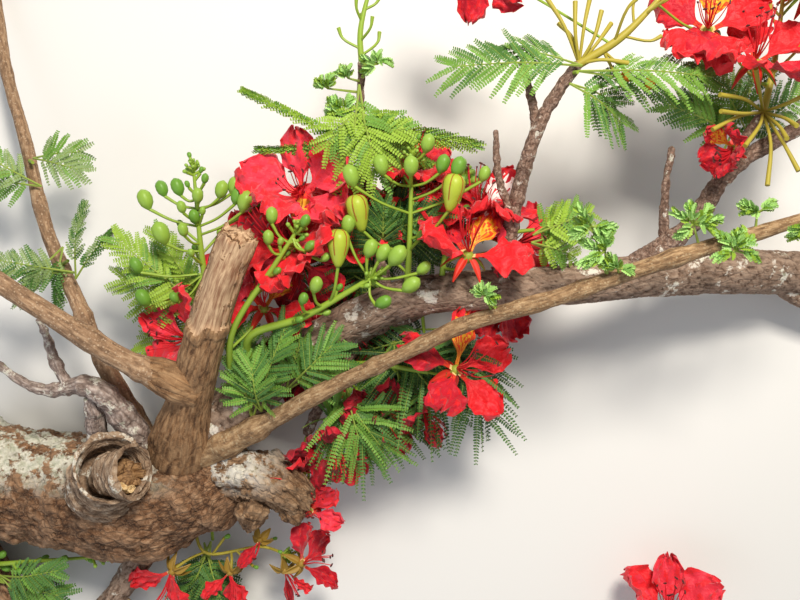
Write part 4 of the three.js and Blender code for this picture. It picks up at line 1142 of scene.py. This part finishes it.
# Each bloom's carrier and share of the way along it, throat, facing, roll and opening, and its own marks.
BLOOMS = {
    "bloom_top_left": (
        "raceme_mid_left", 0.72, [-109, 54, 168], [-0.45, 0.65, 0.6], 80, 60, {"style": "yellow"},
    ),
    "bloom_top": ("centre_twig", 0.25, [-98, 108, 152], [-0.1, 0.4, 0.9], 95, 55, {"style": "pink"}),
    "bloom_behind": (
        "raceme_mid_left", 0.27, [-136, -6, 146], [0.2, 0.7, 0.65], 60, 65,
        {"scale": 0.85, "style": "yellow", "lost": (3,)},
    ),
    "bloom_left": (
        "crotch_twig", 0.8, [-222, -40, 118], [-0.75, 0.3, 0.6], 150, 60, {"scale": 0.9, "style": "pink"},
    ),
    "bloom_centre": (
        "raceme_right", 0.42, [66, 47, 184], [0.15, 0.82, 0.55], 65, 60, {"style": "yellow", "lost": (3,)},
    ),
    "bloom_back": ("raceme_right", 0.7, [82, 92, 138], [0.1, 0.8, 0.55], 60, 55, {"style": "white"}),
    "bloom_right": ("raceme_right", 0.52, [118, 56, 108], [0.75, 0.25, 0.6], 20, 65, {"style": "pink"}),
    "bloom_core": ("centre_twig", 0.3, [-10, 112, 116], [0.15, 0.85, 0.5], 90, 55, {"scale": 0.95}),
    "bloom_lower_right": (
        "raceme_under", 0.98, [58, -68, 152], [0.42, 0.42, 0.8], 84, 68, {"style": "yellow", "narrow": 0.74},
    ),
    "bloom_under_left": (
        "under_twig", 0.72, [-72, -156, 106], [0.15, -0.65, 0.7], 250, 60, {"scale": 0.75, "style": "deep"},
    ),
    "bloom_under_tip": (
        "under_twig", 0.98, [-104, -190, 84], [0.3, -0.7, 0.5], 300, 60, {"scale": 0.75, "lost": (4,)},
    ),
    "bloom_bottom_left": (
        "raceme_bottom", 0.34, [-250, -298, 76], [-0.5, -0.6, 0.6], 205, 62,
        {"scale": 0.75, "olive": True, "lost": (2, 3, 4)},
    ),
    "bloom_bottom": (
        "raceme_bottom", 0.5, [-188, -304, 62], [-0.1, -0.8, 0.6], 222, 58,
        {"scale": 0.65, "olive": True, "narrow": 0.7, "lost": (2, 3, 4)},
    ),
    "bloom_bottom_right": (
        "raceme_bottom", 0.98, [-104, -286, 78], [0.85, 0.1, 0.5], -24, 62,
        {"scale": 0.75, "olive": True, "narrow": 0.9, "lost": (3, 4)},
    ),
    "bloom_tip_right": ("raceme_tip_right", 0.35, [336, 228, 198], [-0.1, 0.8, 0.56], 92, 66, {}),
    "bloom_tip_middle": (
        "raceme_tip_left", 0.9, [296, 262, 184], [-0.2, 0.5, 0.8], 80, 66, {"scale": 0.9, "style": "yellow"},
    ),
    "bloom_tip_left": ("raceme_tip_left", 0.4, [76, 318, 182], [-0.2, -0.6, 0.75], 260, 60, {"scale": 0.8}),
    "bloom_far": (
        "lower_side_bough", 0.96, [298, -348, 52], [-0.1, 0.85, 0.5], 90, 46,
        {"scale": 1.05, "fold": 0.35, "style": "pink"},
    ),
}
# The blooms that fill the clumps behind and between those, in the same terms. Those of the deep style
# are painted in shade.
INNER_BLOOMS = [
    ("raceme_mid_left", 0.5, [-102, 39, 130], [-0.2, -0.4, 0.9], 100, 70, {"scale": 0.85, "style": "deep"}),
    ("raceme_centre", 0.6, [6, 132, 146], [0.2, 0.9, 0.4], 90, 60, {"scale": 0.8}),
    ("raceme_right", 0.6, [31, 87, 130], [-0.1, 0.7, 0.7], 80, 66, {"scale": 0.9}),
    ("raceme_mid_left", 0.45, [-150, 44, 124], [-0.3, 0.5, 0.85], 110, 66, {"scale": 0.9, "style": "pink"}),
    ("raceme_mid_left", 0.8, [-52, 82, 126], [-0.1, 0.5, 0.9], 80, 70, {"scale": 0.9}),
    ("under_twig", 0.12, [-51, -24, 92], [0, -0.2, 0.98], 90, 70, {"scale": 0.9, "style": "deep"}),
    ("raceme_right", 0.3, [106, 4, 96], [0.6, -0.2, 0.8], 10, 66, {"scale": 0.8, "style": "deep"}),
    ("under_twig", 0.5, [-96, -62, 84], [-0.2, -0.3, 0.9], 240, 66, {"scale": 0.85, "style": "deep"}),
    ("under_twig", 0.6, [-19, -122, 98], [0.3, -0.3, 0.9], 300, 60, {"scale": 0.8, "style": "deep"}),
    ("raceme_under", 0.7, [26, -118, 104], [0.4, -0.6, 0.7], 300, 55, {"scale": 0.7, "narrow": 0.8}),
    (
        "under_twig", 0.95, [-96, -226, 92], [0.3, -0.2, 0.95], 340, 66,
        {"scale": 0.6, "style": "pink", "lost": (2, 3, 4)},
    ),
    (
        "raceme_bottom", 0.9, [-126, -300, 66], [0.3, -0.8, 0.6], 280, 50,
        {"scale": 0.6, "olive": True, "narrow": 0.4, "lost": (2, 3, 4)},
    ),
    (
        "raceme_bottom", 0.7, [-154, -264, 70], [-0.2, -0.3, 0.9], 226, 60,
        {"scale": 0.55, "olive": True, "narrow": 0.7, "lost": (1, 2, 3, 4)},
    ),
    (
        "upper_right_bough", 0.62, [317, 145, 190], [-0.9, -0.2, 0.4], 150, 44,
        {"scale": 0.5, "style": "yellow"},
    ),
    ("raceme_tip_right", 0.8, [392, 300, 184], [0.3, 0.4, 0.85], 80, 66, {"scale": 0.9}),
]


def make_blooms():
    for seed, (on, at, *shape, marks) in enumerate(BLOOMS.values(), 1):
        bloom(petals, ROUTES[on], at, *shape, seed=seed, **marks)
    for seed, (on, at, *shape, marks) in enumerate(INNER_BLOOMS, 31):
        bloom(inner_petals, ROUTES[on], at, *shape, seed=seed, **marks)


# Buds

# A bud's outline: how far up it, as a share of its length, and how wide, as a share of its radius.
BUD_SHAPE = ((-0.03, 0.2), (0.08, 0.5), (0.25, 0.86), (0.5, 1), (0.74, 0.92), (0.9, 0.6), (1, 0.1))
RIPE_SHAPE = ((-0.03, 0.25), (0.1, 0.5), (0.3, 0.74), (0.58, 1), (0.82, 0.98), (0.95, 0.7), (1, 0.3))
BUD_RIDGE = 0.065  # the height of a bud's five ridges, as a share of its radius
CROWN_BUDS = 14


def stalk_skin(name):
    return OLD_STALK if name in OLD_RACEMES else YOUNG_STALK


def bud(start, foot, way, length, radius, skin, own_stalk=YOUNG_STALK, knee=None, shape=BUD_SHAPE):
    """A bud on its stalk: five ridges run from its foot to its tip."""
    bend = [[*knee, STALK_RADIUS]] if knee is not None else []
    tube(stems, [[*start, STALK_RADIUS], *bend, [*foot, STALK_RADIUS * 1.25]], 6, 4, own_stalk)
    route = [[*(foot + way * length * share), radius * wide] for share, wide in shape]
    tube(buds, route, 15, 2, skin, BUD_RIDGE)


def stalks(name, count, start, reach, seed):
    """Stalks in a spiral up a raceme's stem, shorter and closer to the stem towards its tip."""
    route = STEMS[name]
    share = lerp(start, 1, np.arange(count) / (count - 1))
    rings = smooth_line(route, np.linspace(0, 1, 41))
    side, lift = frames_along(rings[1])
    for i in range(count):
        ring = round(share[i] * 40)
        root, along = rings[0][ring], rings[1][ring]
        out = turned(side[ring], lift[ring], i * GOLDEN_ANGLE + seed)
        way = unit(out + along * lerp(0.5, 1.2, share[i]))
        length = reach * lerp(1, 0.2, share[i]) * lerp(0.75, 1.1, chance(seed, i, 1))
        yield i, share[i], root, along, way, root + way * length


def bud_cluster(name, count, start, reach, seed, size=BUD_RADIUS):
    for i, share, root, along, way, foot in stalks(name, count, start, reach, seed):
        radius = 0.78 * size * lerp(1, 0.5, share) * lerp(0.85, 1.1, chance(seed, i, 2))
        tip = unit(way + along * 1.1)
        skin = BUD_GREEN if chance(seed, i, 5) < 0.6 else BUD_LIGHT
        bud(root, foot, tip, radius * 2.9, radius, skin, stalk_skin(name))
    crown(name, size, seed)


def crown(name, size, seed):
    """The small tight buds round the tip of a raceme."""
    points, along, _ = smooth_line(STEMS[name], [0.93, 1.0])
    side, lift = frames_along(along)
    for i in range(CROWN_BUDS):
        share = i / (CROWN_BUDS - 1)
        out = turned(side[1], lift[1], i * GOLDEN_ANGLE + 2 * seed)
        way = unit(out + along[1] * lerp(0.4, 1.6, share))
        start = lerp(points[0], points[1], share)
        radius = size * lerp(0.34, 0.2, share)
        foot = start + way * lerp(9, 3, share)
        bud(start, foot, way, radius * 2.6, radius, BUD_LIGHT)


def bare_stalks(name, count, start, reach, seed):
    """Stalks whose blooms have fallen, each with a blunt swollen end."""
    for _, _, root, along, way, foot in stalks(name, count, start, reach, seed):
        end = foot + way * 4 + along * 8
        stalk = [[*root, STALK_RADIUS], [*foot, STALK_RADIUS], [*end, STALK_RADIUS * 1.5]]
        tube(stems, stalk, 6, 4, stalk_skin(name))


def ripe_bud(name, at, foot, aim):
    """A full bud whose five seams have coloured."""
    way, foot = unit(aim), np.array(foot, float)
    start = point_on(STEMS[name], at)
    knee = lerp(start, foot, 0.6) - way * 8
    bud(start, foot, way, RIPE_BUD_LENGTH, RIPE_BUD_RADIUS, BUD_RIPE, knee=knee, shape=RIPE_SHAPE)
    side, lift = (axis[0] for axis in frames_along(way[None]))
    for i in range(PETALS):
        out = turned(side, lift, i * 2 * math.pi / PETALS + 0.6)
        line = [(share, RIPE_BUD_RADIUS * wide * 0.985) for share, wide in RIPE_SHAPE[2:]]
        seam = [[*(foot + (way * RIPE_BUD_LENGTH * share + out * r)), 0.45] for share, r in line]
        tube(buds, seam, 4, 3, BUD_SEAM)


# The buds that stand in front of the clump: each one's middle and its radius, by the raceme that carries it.
FRONT_BUDS = {
    "raceme_centre": [
        [-46, 116, 206, 8], [10, 124, 212, 7.5], [40, 128, 200, 7], [54, 124, 208, 7.5],
        [-18, 127, 200, 7.5], [80, 120, 190, 6], [26, 148, 196, 7],
    ],
    "raceme_left": [
        [-257, 101, 142, 8], [-240, 67, 146, 9], [-225, 114, 140, 7], [-242, 113, 136, 6.5],
        [-219, 93, 148, 5], [-202, 104, 152, 6], [-180, 111, 144, 7], [-168, 116, 140, 7],
        [-155, 98, 150, 8.5], [-143, 102, 142, 7], [-164, 104, 146, 6.5], [-217, 70, 150, 5.5],
        [-268, 35, 136, 6.5], [-262, 2, 132, 7.5], [-228, 2, 140, 5], [-135, 62, 150, 8],
        [-196, 122, 146, 4], [-208, 84, 140, 6],
    ],
    "raceme_front": [
        [-49, 71, 202, 7], [-79, 14, 204, 6.5], [-91, 1, 202, 5], [-16, -2, 202, 6.5], [10, 14, 204, 7.5],
        [-3, 41, 210, 8.5], [-28, 48, 206, 7], [-16, 44, 204, 7], [22, 30, 196, 6],
    ],
    "raceme_mid_left": [
        [-120, 79, 206, 6], [-123, 58, 208, 5.5], [-88, 73, 214, 5], [-84, 50, 208, 5], [-70, 40, 204, 4],
    ],
}


def front_buds():
    for name, spots in FRONT_BUDS.items():
        for i, (x, y, z, radius) in enumerate(spots):
            middle = np.array([x, y, z], float)
            line, along, _ = smooth_line(STEMS[name], np.linspace(0.3, 0.95, 14))
            down = np.maximum(middle[1] - line[:, 1], 0)
            near = int(np.argmin(np.linalg.norm(line - middle, axis=1) - 0.5 * down))
            way = unit(unit(middle - line[near]) + along[near] + [0, 0.9, 0])
            foot = middle - way * radius * 1.25
            knee = lerp(line[near], foot, 0.55) - way * 4
            skin = BUD_GREEN if chance(i, 7) < 0.65 else BUD_LIGHT
            bud(line[near], foot, way, radius * 2.65, radius * 0.93, skin, knee=knee)


# The ends of the bare stalks that fan out from the foot of a raceme.
BARE_FANS = {
    "raceme_tip_right": [
        [296, 190, 214], [294, 173, 222], [290, 158, 212], [350, 146, 232], [340, 106, 214], [368, 119, 216],
        [326, 212, 222], [372, 188, 222], [316, 141, 222], [360, 158, 230],
    ],
    "raceme_tip_left": [
        [137, 284, 204], [163, 278, 210], [179, 285, 200], [188, 270, 208], [150, 262, 196], [200, 262, 196],
        [214, 222, 204],
    ],
}


def bare_fan(name):
    """Thick blunt stalks that each bend a little on the way out."""
    root = point_on(STEMS[name], 0.04)
    for i, end in enumerate(BARE_FANS[name]):
        middle = lerp(root, np.array(end, float), 0.5) + [3 * math.sin(5 * i), 3 * math.cos(3 * i), 6]
        tube(stems, [[*root, 1.5], [*middle, 1.7], [*end, 2.4]], 7, 5, OLD_STALK)


OPENING_BUDS = ([236, 200, 190], [210, 202, 196])  # the feet of two buds that open on raceme_tip_left

# The full buds: their raceme, how far up its stem they leave it, their foot and which way they point.
RIPE_BUDS = (
    ("raceme_centre", 0.6, [-36, 66, 196], [-0.2, 0.95, 0.25]),
    ("raceme_centre", 0.65, [46, 84, 206], [0.16, 0.95, 0.2]),
    ("raceme_front", 0.78, [-58, 32, 206], [0.02, 0.97, 0.12]),
)

# The spirals up a stem: their raceme, how many, where they start as a share of the stem, the lowest stalk's
# length in mm, the seed, and a bud's size in mm if it isn't the usual one.
SPIRALS = (
    (bud_cluster, "raceme_left", 9, 0.3, 40, 2, 6),
    (bud_cluster, "raceme_centre", 5, 0.45, 40, 3, 6),
    (bud_cluster, "raceme_front", 5, 0.6, 26, 4, 6),
    (bud_cluster, "raceme_mid_left", 6, 0.6, 30, 5, 6),
    (bud_cluster, "raceme_right", 5, 0.75, 30, 6),
    (bare_stalks, "raceme_top", 9, 0.15, 30, 7),
    (bare_stalks, "raceme_tip_left", 7, 0.3, 60, 8),
    (bare_stalks, "raceme_tip_right", 6, 0.3, 52, 9),
    (bud_cluster, "raceme_tip_right", 3, 0.6, 60, 13, 5),
    (bud_cluster, "raceme_bottom", 6, 0.4, 44, 10, 4),
    (bud_cluster, "raceme_low_left", 8, 0.3, 18, 11, 6.5),
)


def make_racemes():
    for name, route in STEMS.items():
        tube(stems, route, 8, 8, stalk_skin(name))
    for name in BARE_FANS:
        bare_fan(name)
    for foot in OPENING_BUDS:
        root = point_on(STEMS["raceme_tip_left"], 0.3)
        bud(root, np.array(foot, float), unit([0.2, 0.9, 0.3]), 15, 5.5, BUD_OPENING, OLD_STALK)
    for listed in RIPE_BUDS:
        ripe_bud(*listed)
    front_buds()
    for grow, *listed in SPIRALS:
        grow(*listed)


# Leaves

HANG = unit([0.0, -1.0, -0.35])  # which way the leaves hung while the branch was on the tree
LIGHT_HANG, HEAVY_HANG = 0.16, 0.5


def leaf(gathering, root, tip, arch, size, seed, tints, bank, closed, hang=LIGHT_HANG):
    """A twice-feathered leaf: pinnae in pairs along its stem, and two rows of leaflets along each pinna.

    Bank turns the blade about its stem, in radians. A closed leaf is a young one that is still folded up.
    Hang is how far its pinnae bend over, as a share of their length.
    """
    root, tip = np.asarray(root, float), np.asarray(tip, float)
    middle = lerp(root, tip, 0.5) + UP * arch
    route = [[*root, RACHIS_RADIUS * 1.3], [*middle, RACHIS_RADIUS], [*tip, 0.4]]
    tube(leaf_stems, route, 4, 5, THIN_STALK)
    length = np.linalg.norm(tip - root)
    spacing = PINNA_SPACING * (0.55 if closed else max(size, 0.7))
    pairs = max(4, round(length * (1 - BARE_RACHIS) / spacing))
    shares = np.repeat(lerp(BARE_RACHIS, 0.985, (np.arange(pairs) + 0.5) / pairs), 2)
    hand = np.tile([-1.0, 1.0], pairs)
    number = np.repeat(np.arange(pairs), 2)
    base, along, _ = smooth_line(route, shares)
    flat = unit(np.cross(along, UP))
    tilt = bank + 0.25 * np.sin(7 * shares + seed)[:, None]
    side = flat * np.cos(tilt) + np.cross(flat, along) * np.sin(tilt)
    over = np.cross(side, along)
    forward = np.radians(lerp(40, 14, shares) if closed else lerp(76, 22, shares))[:, None]
    forward = forward * lerp(0.76, 1.2, chance(seed, number, 8 + hand))[:, None]
    reach = PINNA_LENGTH * size * lerp(0.66, 1, np.sin(math.pi * shares) ** 0.6)
    reach = reach * lerp(0.85, 1.1, chance(seed, number, 6 + hand))
    away = along * np.cos(forward) + side * hand[:, None] * np.sin(forward) - over * 0.12
    droop = hang * lerp(0.05, 1, chance(seed, number, 7 + hand))[:, None]
    for i in range(len(shares)):
        tint = tints[0] if chance(seed, i, 9) < 0.72 else tints[1]
        pinna(gathering, base[i], unit(away[i]), over[i], reach[i], droop[i], seed + i * 0.37, tint, closed)


LEAFLET = np.array([[0, 0], [0.24, 0.5], [0.76, 0.44], [1, 0.04], [0.76, -0.44], [0.24, -0.5]])
LEAFLET_FACES = np.array([[0, 3, 2, 1], [0, 5, 4, 3]])


def pinna(gathering, base, away, over, reach, droop, seed, tint, closed):
    """One pinna: a hair-thin stem with its leaflets, all added at once."""
    count = max(5, int(reach / LEAFLET_SPACING))
    s = (np.arange(count) + 0.8)[:, None] / count
    fall = HANG * reach * droop
    line = base + away * reach * s + fall * s**2
    way = unit(away * reach + 2 * fall * s)
    side = unit(np.cross(way, over))
    over = np.cross(side, way)
    ends = base + away * reach + fall
    middle = base + away * reach * 0.5 + fall * 0.25
    tube(leaf_stems, [[*base, 0.5], [*middle, 0.4], [*ends, 0.25]], 3, 2)
    shrink = np.sin(math.pi * lerp(0.22, 0.9, s)) ** 0.5
    fold = 1.3 if closed else lerp(0.05, 0.55, chance(seed, 3))
    number = np.arange(count)[:, None]
    points = []
    for hand in (-1, 1):
        lift = fold + 0.35 * (chance(seed, number, 2 + hand) - 0.5)
        out = unit(side * hand * 0.94 + way * 0.34 + over * lift)
        across = unit(way - out * np.sum(way * out, axis=1, keepdims=True))
        normal = np.cross(out, across)
        size = shrink * lerp(0.88, 1.08, chance(seed, number, 5 + hand))
        long = LEAFLET_LENGTH * size[:, :, None] * LEAFLET[None, :, :1]
        wide = LEAFLET_WIDTH * size[:, :, None] * LEAFLET[None, :, 1:] * hand
        rise = 0.28 * LEAFLET_WIDTH * np.abs(LEAFLET[None, :, 1:])
        blades = line[:, None] + out[:, None] * long + across[:, None] * wide
        points.append(blades + normal[:, None] * rise)
    points = np.concatenate(points).reshape(-1, 3)
    faces = (np.arange(2 * count)[:, None, None] * 6 + LEAFLET_FACES[None]).reshape(-1, 4)
    gathering.add(points, faces, list(LEAF_TINTS).index(tint))


# Each mass of leaves: its carrier and share of the way along it, the rise of its short stem, its tints (dark
# is painted shade, for the masses that hang low in the clump), how many more leaves grow beside each listed
# one, and each listed leaf's tip, and its size and arch if unusual.
MASSES = {
    "leaves_rising_top": (
        "rising_bough", 0.66, [14, -6, 22], ("grey", "lit"), 1,
        [[[-446, 158, 100], 0.62], [[-340, 138, 98], 0.6]],
    ),
    "leaves_rising_low": (
        "rising_bough", 0.47, [14, 4, 18], ("grey", "middle"), 1,
        [[[-325, 97, 126], 0.34], [[-420, 42, 124], 0.5], [[-392, 0, 120], 0.45]],
    ),
    "leaves_left": (
        "crotch_twig", 0.8, [-16, 6, -18], ("bright", "lit"), 1,
        [[[-290, 62, 130], 0.66], [[-290, 22, 110], 0.7], [[-276, -54, 84], 0.7, 0], [[-252, 70, 120], 0.6]],
    ),
    "leaves_top": (
        "centre_twig", 0.66, [-1, 2, 16], ("bright", "lit"), 1,
        [
            [[-154, 206, 162], 0.3], [[-22, 122, 190], 0.72], [[-70, 148, 186], 0.55], [[6, 164, 188], 0.5],
            [[74, 152, 172], 0.42, 4], [[-48, 116, 176], 0.6],
        ],
    ),
    "leaves_core": (
        "centre_twig", 0.22, [1, 4, -18], ("middle", "dark"), 4,
        [
            [[44, 122, 104]], [[-54, 6, 92]], [[36, 38, 96]], [[-70, 92, 98]], [[-110, 60, 96]],
            [[100, 90, 98], 0.9], [[34, 84, 178], 0.6], [[-16, 92, 176], 0.6],
        ],
    ),
    "leaves_right": (
        "upper_left_bough", 0.25, [22, 2, 8], ("bright", "lit"), 2,
        [[[190, 88, 150], 0.62], [[176, 44, 146], 0.5]],
    ),
    "leaves_lower_left": (
        "right_limb", 0.17, [8, -20, 30], ("middle", "lit"), 2,
        [[[-66, -44, 168], 0.8], [[-112, -26, 170], 0.75], [[-146, -66, 164], 0.7]],
    ),
    "leaves_lower_middle": (
        "under_twig", 0.72, [12, -12, 8], ("lit", "middle"), 2,
        [[[-42, -142, 132], 1.25], [[-20, -150, 128], 1.25], [[-58, -112, 120]], [[20, -124, 110], 1.2]],
    ),
    "leaves_lower_right": (
        "right_limb", 0.43, [4, -38, -24], ("middle", "dark"), 3,
        [
            [[82, -118, 128], 1.3], [[48, -112, 118], 1.2], [[-10, -110, 84]], [[64, -90, 92]],
            [[-60, -60, 88]],
        ],
    ),
    "leaves_tip_left": (
        "upper_left_bough", 0.94, [4, -2, 11], ("lit", "middle"), 1,
        [[[50, 222, 192], 0.85], [[212, 168, 190], 0.9], [[300, 212, 192], 0.8]],
    ),
    "leaves_tip_right": (
        "upper_right_bough", 0.75, [-8, 14, -18], ("lit", "middle"), 1,
        [[[266, 196, 150], 0.6], [[300, 236, 148], 0.7], [[410, 214, 152], 0.8]],
    ),
    "leaves_bottom": (
        "main_limb", 0.7, [-2, -72, -32], ("middle", "dark"), 2,
        [[[-248, -366, 34], 0.7], [[-188, -372, 36], 0.7]],
    ),
    "leaves_bottom_left": (
        "lower_left_stub", 0.55, [24, 6, 22], ("middle", "lit"), 1,
        [[[-372, -326, 60], 0.6], [[-366, -290, 88], 0.5], [[-490, -274, 96], 0.55]],
    ),
}
USUAL_LEAF = (1, 12)  # size and arch
CLOSED_BELOW = 0.5  # a leaf smaller than this is closed
HEAVY_MASSES = ("leaves_lower_middle", "leaves_lower_right")
SLIDES = {"centre_twig": 0.22, "under_twig": 0.2, "crotch_twig": 0.15}  # how far leaves move along a carrier
USUAL_SLIDE = 0.06
LEAF_BANK, DAUGHTER_BANK, SHOOT_BANK = 1.1, 1.6, 1.8  # radians, from the one side to the other
DAUGHTER_TURN = 34  # degrees to each side of the listed leaf, at the most
DAUGHTER_DROP = 26  # mm below it, at the most
FLOOR_ROOM = 16  # the least height of a leaf's tip over the floor, in mm

# The young shoots along a bough: the middle of each, its spread in mm and how many leaves it has.
SHOOTS = {
    "front_bough": [
        ([78, 4, 214], 9, 5), ([184, 44, 238], 24, 9), ([172, 66, 238], 20, 6), ([196, 28, 236], 12, 4),
        ([262, 68, 242], 20, 7), ([300, 44, 240], 20, 7), ([320, 78, 240], 14, 5), ([366, 66, 238], 16, 5),
    ],
    "centre_twig": [
        ([-56, 184, 176], 16, 5), ([-70, 206, 172], 12, 4), ([-50, 216, 172], 9, 4),
        ([-22, 230, 172], 13, 4),
    ],
}
SHOOT_SIZE, SHOOT_ARCH = 0.22, 4
SHOOT_TINTS = ("fresh", "bright")


def nearest_on(route, point):
    line = smooth_line(route, np.linspace(0, 1, 81))[0]
    return line[np.argmin(np.linalg.norm(line - point, axis=1))]


def make_leaves():
    for name, (on, at, rise, tints, daughters, tips) in MASSES.items():
        start = point_on(ROUTES[on], at)
        tube(leaf_stems, [[*start, 2.2], [*(start + rise), 1.8]], 6, 2, THICK_STALK)
        hang = HEAVY_HANG if name in HEAVY_MASSES else LIGHT_HANG
        inner = tints[::-1]
        for i, (tip, *marks) in enumerate(tips):
            size, arch = (*marks, *USUAL_LEAF[len(marks) :])
            closed = size < CLOSED_BELOW
            seed = at * 50 + i
            slide = SLIDES.get(on, USUAL_SLIDE) * (2 * chance(seed, 2) - 1)
            lower = np.array([1, 1, lerp(0.7, 1, chance(seed, 3))])
            root = point_on(ROUTES[on], min(max(at + slide, 0), 1)) + rise * lower
            bank = LEAF_BANK * (chance(seed, 1) - 0.5)
            leaf(leaflets, root, tip, arch, size, seed, tints, bank, closed, hang)
            for j in range(daughters):
                own = seed + 7.3 * (j + 1)
                turn = math.radians(DAUGHTER_TURN) * (2 * chance(own, 1) - 1)
                x, y, z = np.array(tip, float) - root
                flat = turned(np.array([x, y]), np.array([-y, x]), turn)
                way = np.array([*flat, z - DAUGHTER_DROP * chance(own, 2)])
                end = root + way * lerp(0.6, 0.95, chance(own, 3))
                end[2] = max(end[2], FLOOR_ROOM)
                bank = DAUGHTER_BANK * (chance(own, 4) - 0.5)
                leaf(inner_leaflets, root, end, arch * 0.6, size * 0.92, own, inner, bank, closed, hang)


def make_shoots():
    listed = [(on, *shoot) for on in SHOOTS for shoot in SHOOTS[on]]
    for number, (on, middle, spread, count) in enumerate(listed):
        start = nearest_on(ROUTES[on], middle)
        tube(leaf_stems, [[*start, 1.6], [*middle, 0.9]], 5, 3)
        for i in range(count):
            angle = lerp(-0.7, 3.8, chance(number, i, 3))
            out = np.array([math.cos(angle), math.sin(angle), 0.5 * chance(number, i, 1)])
            tip = middle + out * spread * lerp(0.5, 1, chance(number, i, 2))
            bank = SHOOT_BANK * (chance(i, 4) - 0.5)
            seed = number * 10 + i
            leaf(shoots, middle, tip, SHOOT_ARCH, SHOOT_SIZE, seed, SHOOT_TINTS, bank, closed=True)


# Studio

def area_light(name, place, aim, size, power, colour="#FFFFFF"):
    light = bpy.data.lights.new(name, "AREA")
    light.size = size
    light.energy = power
    light.color = linear(colour)[:3]
    lamp = bpy.data.objects.new(name, light)
    bpy.context.scene.collection.objects.link(lamp)
    away = np.array(place) - np.array(aim)
    lamp.location = place
    lean = math.atan2(math.hypot(away[0], away[1]), away[2])
    lamp.rotation_euler = (lean, 0, math.atan2(away[0], -away[1]))
    lamp.visible_camera = False


def make_studio():
    deselect()
    bpy.ops.mesh.primitive_plane_add(size=FLOOR_SIZE, location=(0, 0, 0))
    floor = bpy.context.object
    floor.name = "studio_floor"
    material, _, shader = start_material("studio_floor", 0.9)
    shader.inputs["Base Color"].default_value = linear("#E4E4E2")
    floor.data.materials.append(material)

    world = bpy.data.worlds.new("studio")
    world.use_nodes = True
    world.node_tree.nodes["Background"].inputs["Color"].default_value = linear("#F1F3F6")
    world.node_tree.nodes["Background"].inputs["Strength"].default_value = 0.38
    bpy.context.scene.world = world
    bpy.context.scene.view_settings.view_transform = "Standard"
    area_light("key", (0.3, 0.85, 1.5), (0, 0, 0.1), 0.4, 34, "#FFF6E8")
    area_light("fill", (-1.2, -0.8, 1.2), (0, 0, 0.1), 1.6, 9, "#EEF3FF")

    camera = bpy.data.cameras.new("camera")
    camera.lens = LENS
    camera.sensor_width = SENSOR
    camera.clip_start = 0.01
    stand = bpy.data.objects.new("camera", camera)
    stand.location = (-MIDDLE[0] * MM, -MIDDLE[1] * MM, (CAMERA_HEIGHT - MIDDLE[2]) * MM)
    bpy.context.scene.collection.objects.link(stand)
    bpy.context.scene.camera = stand


make_studio()
make_limbs()
make_hollow_stub()
make_racemes()
make_blooms()
make_leaves()
make_shoots()
petals.make(*BLOOMS)
inner_petals.make()
sepals.make()
stamens.make()
stems.make(*STEMS)
buds.make()
leaf_stems.make()
leaflets.make(*MASSES)
inner_leaflets.make()
shoots.make()
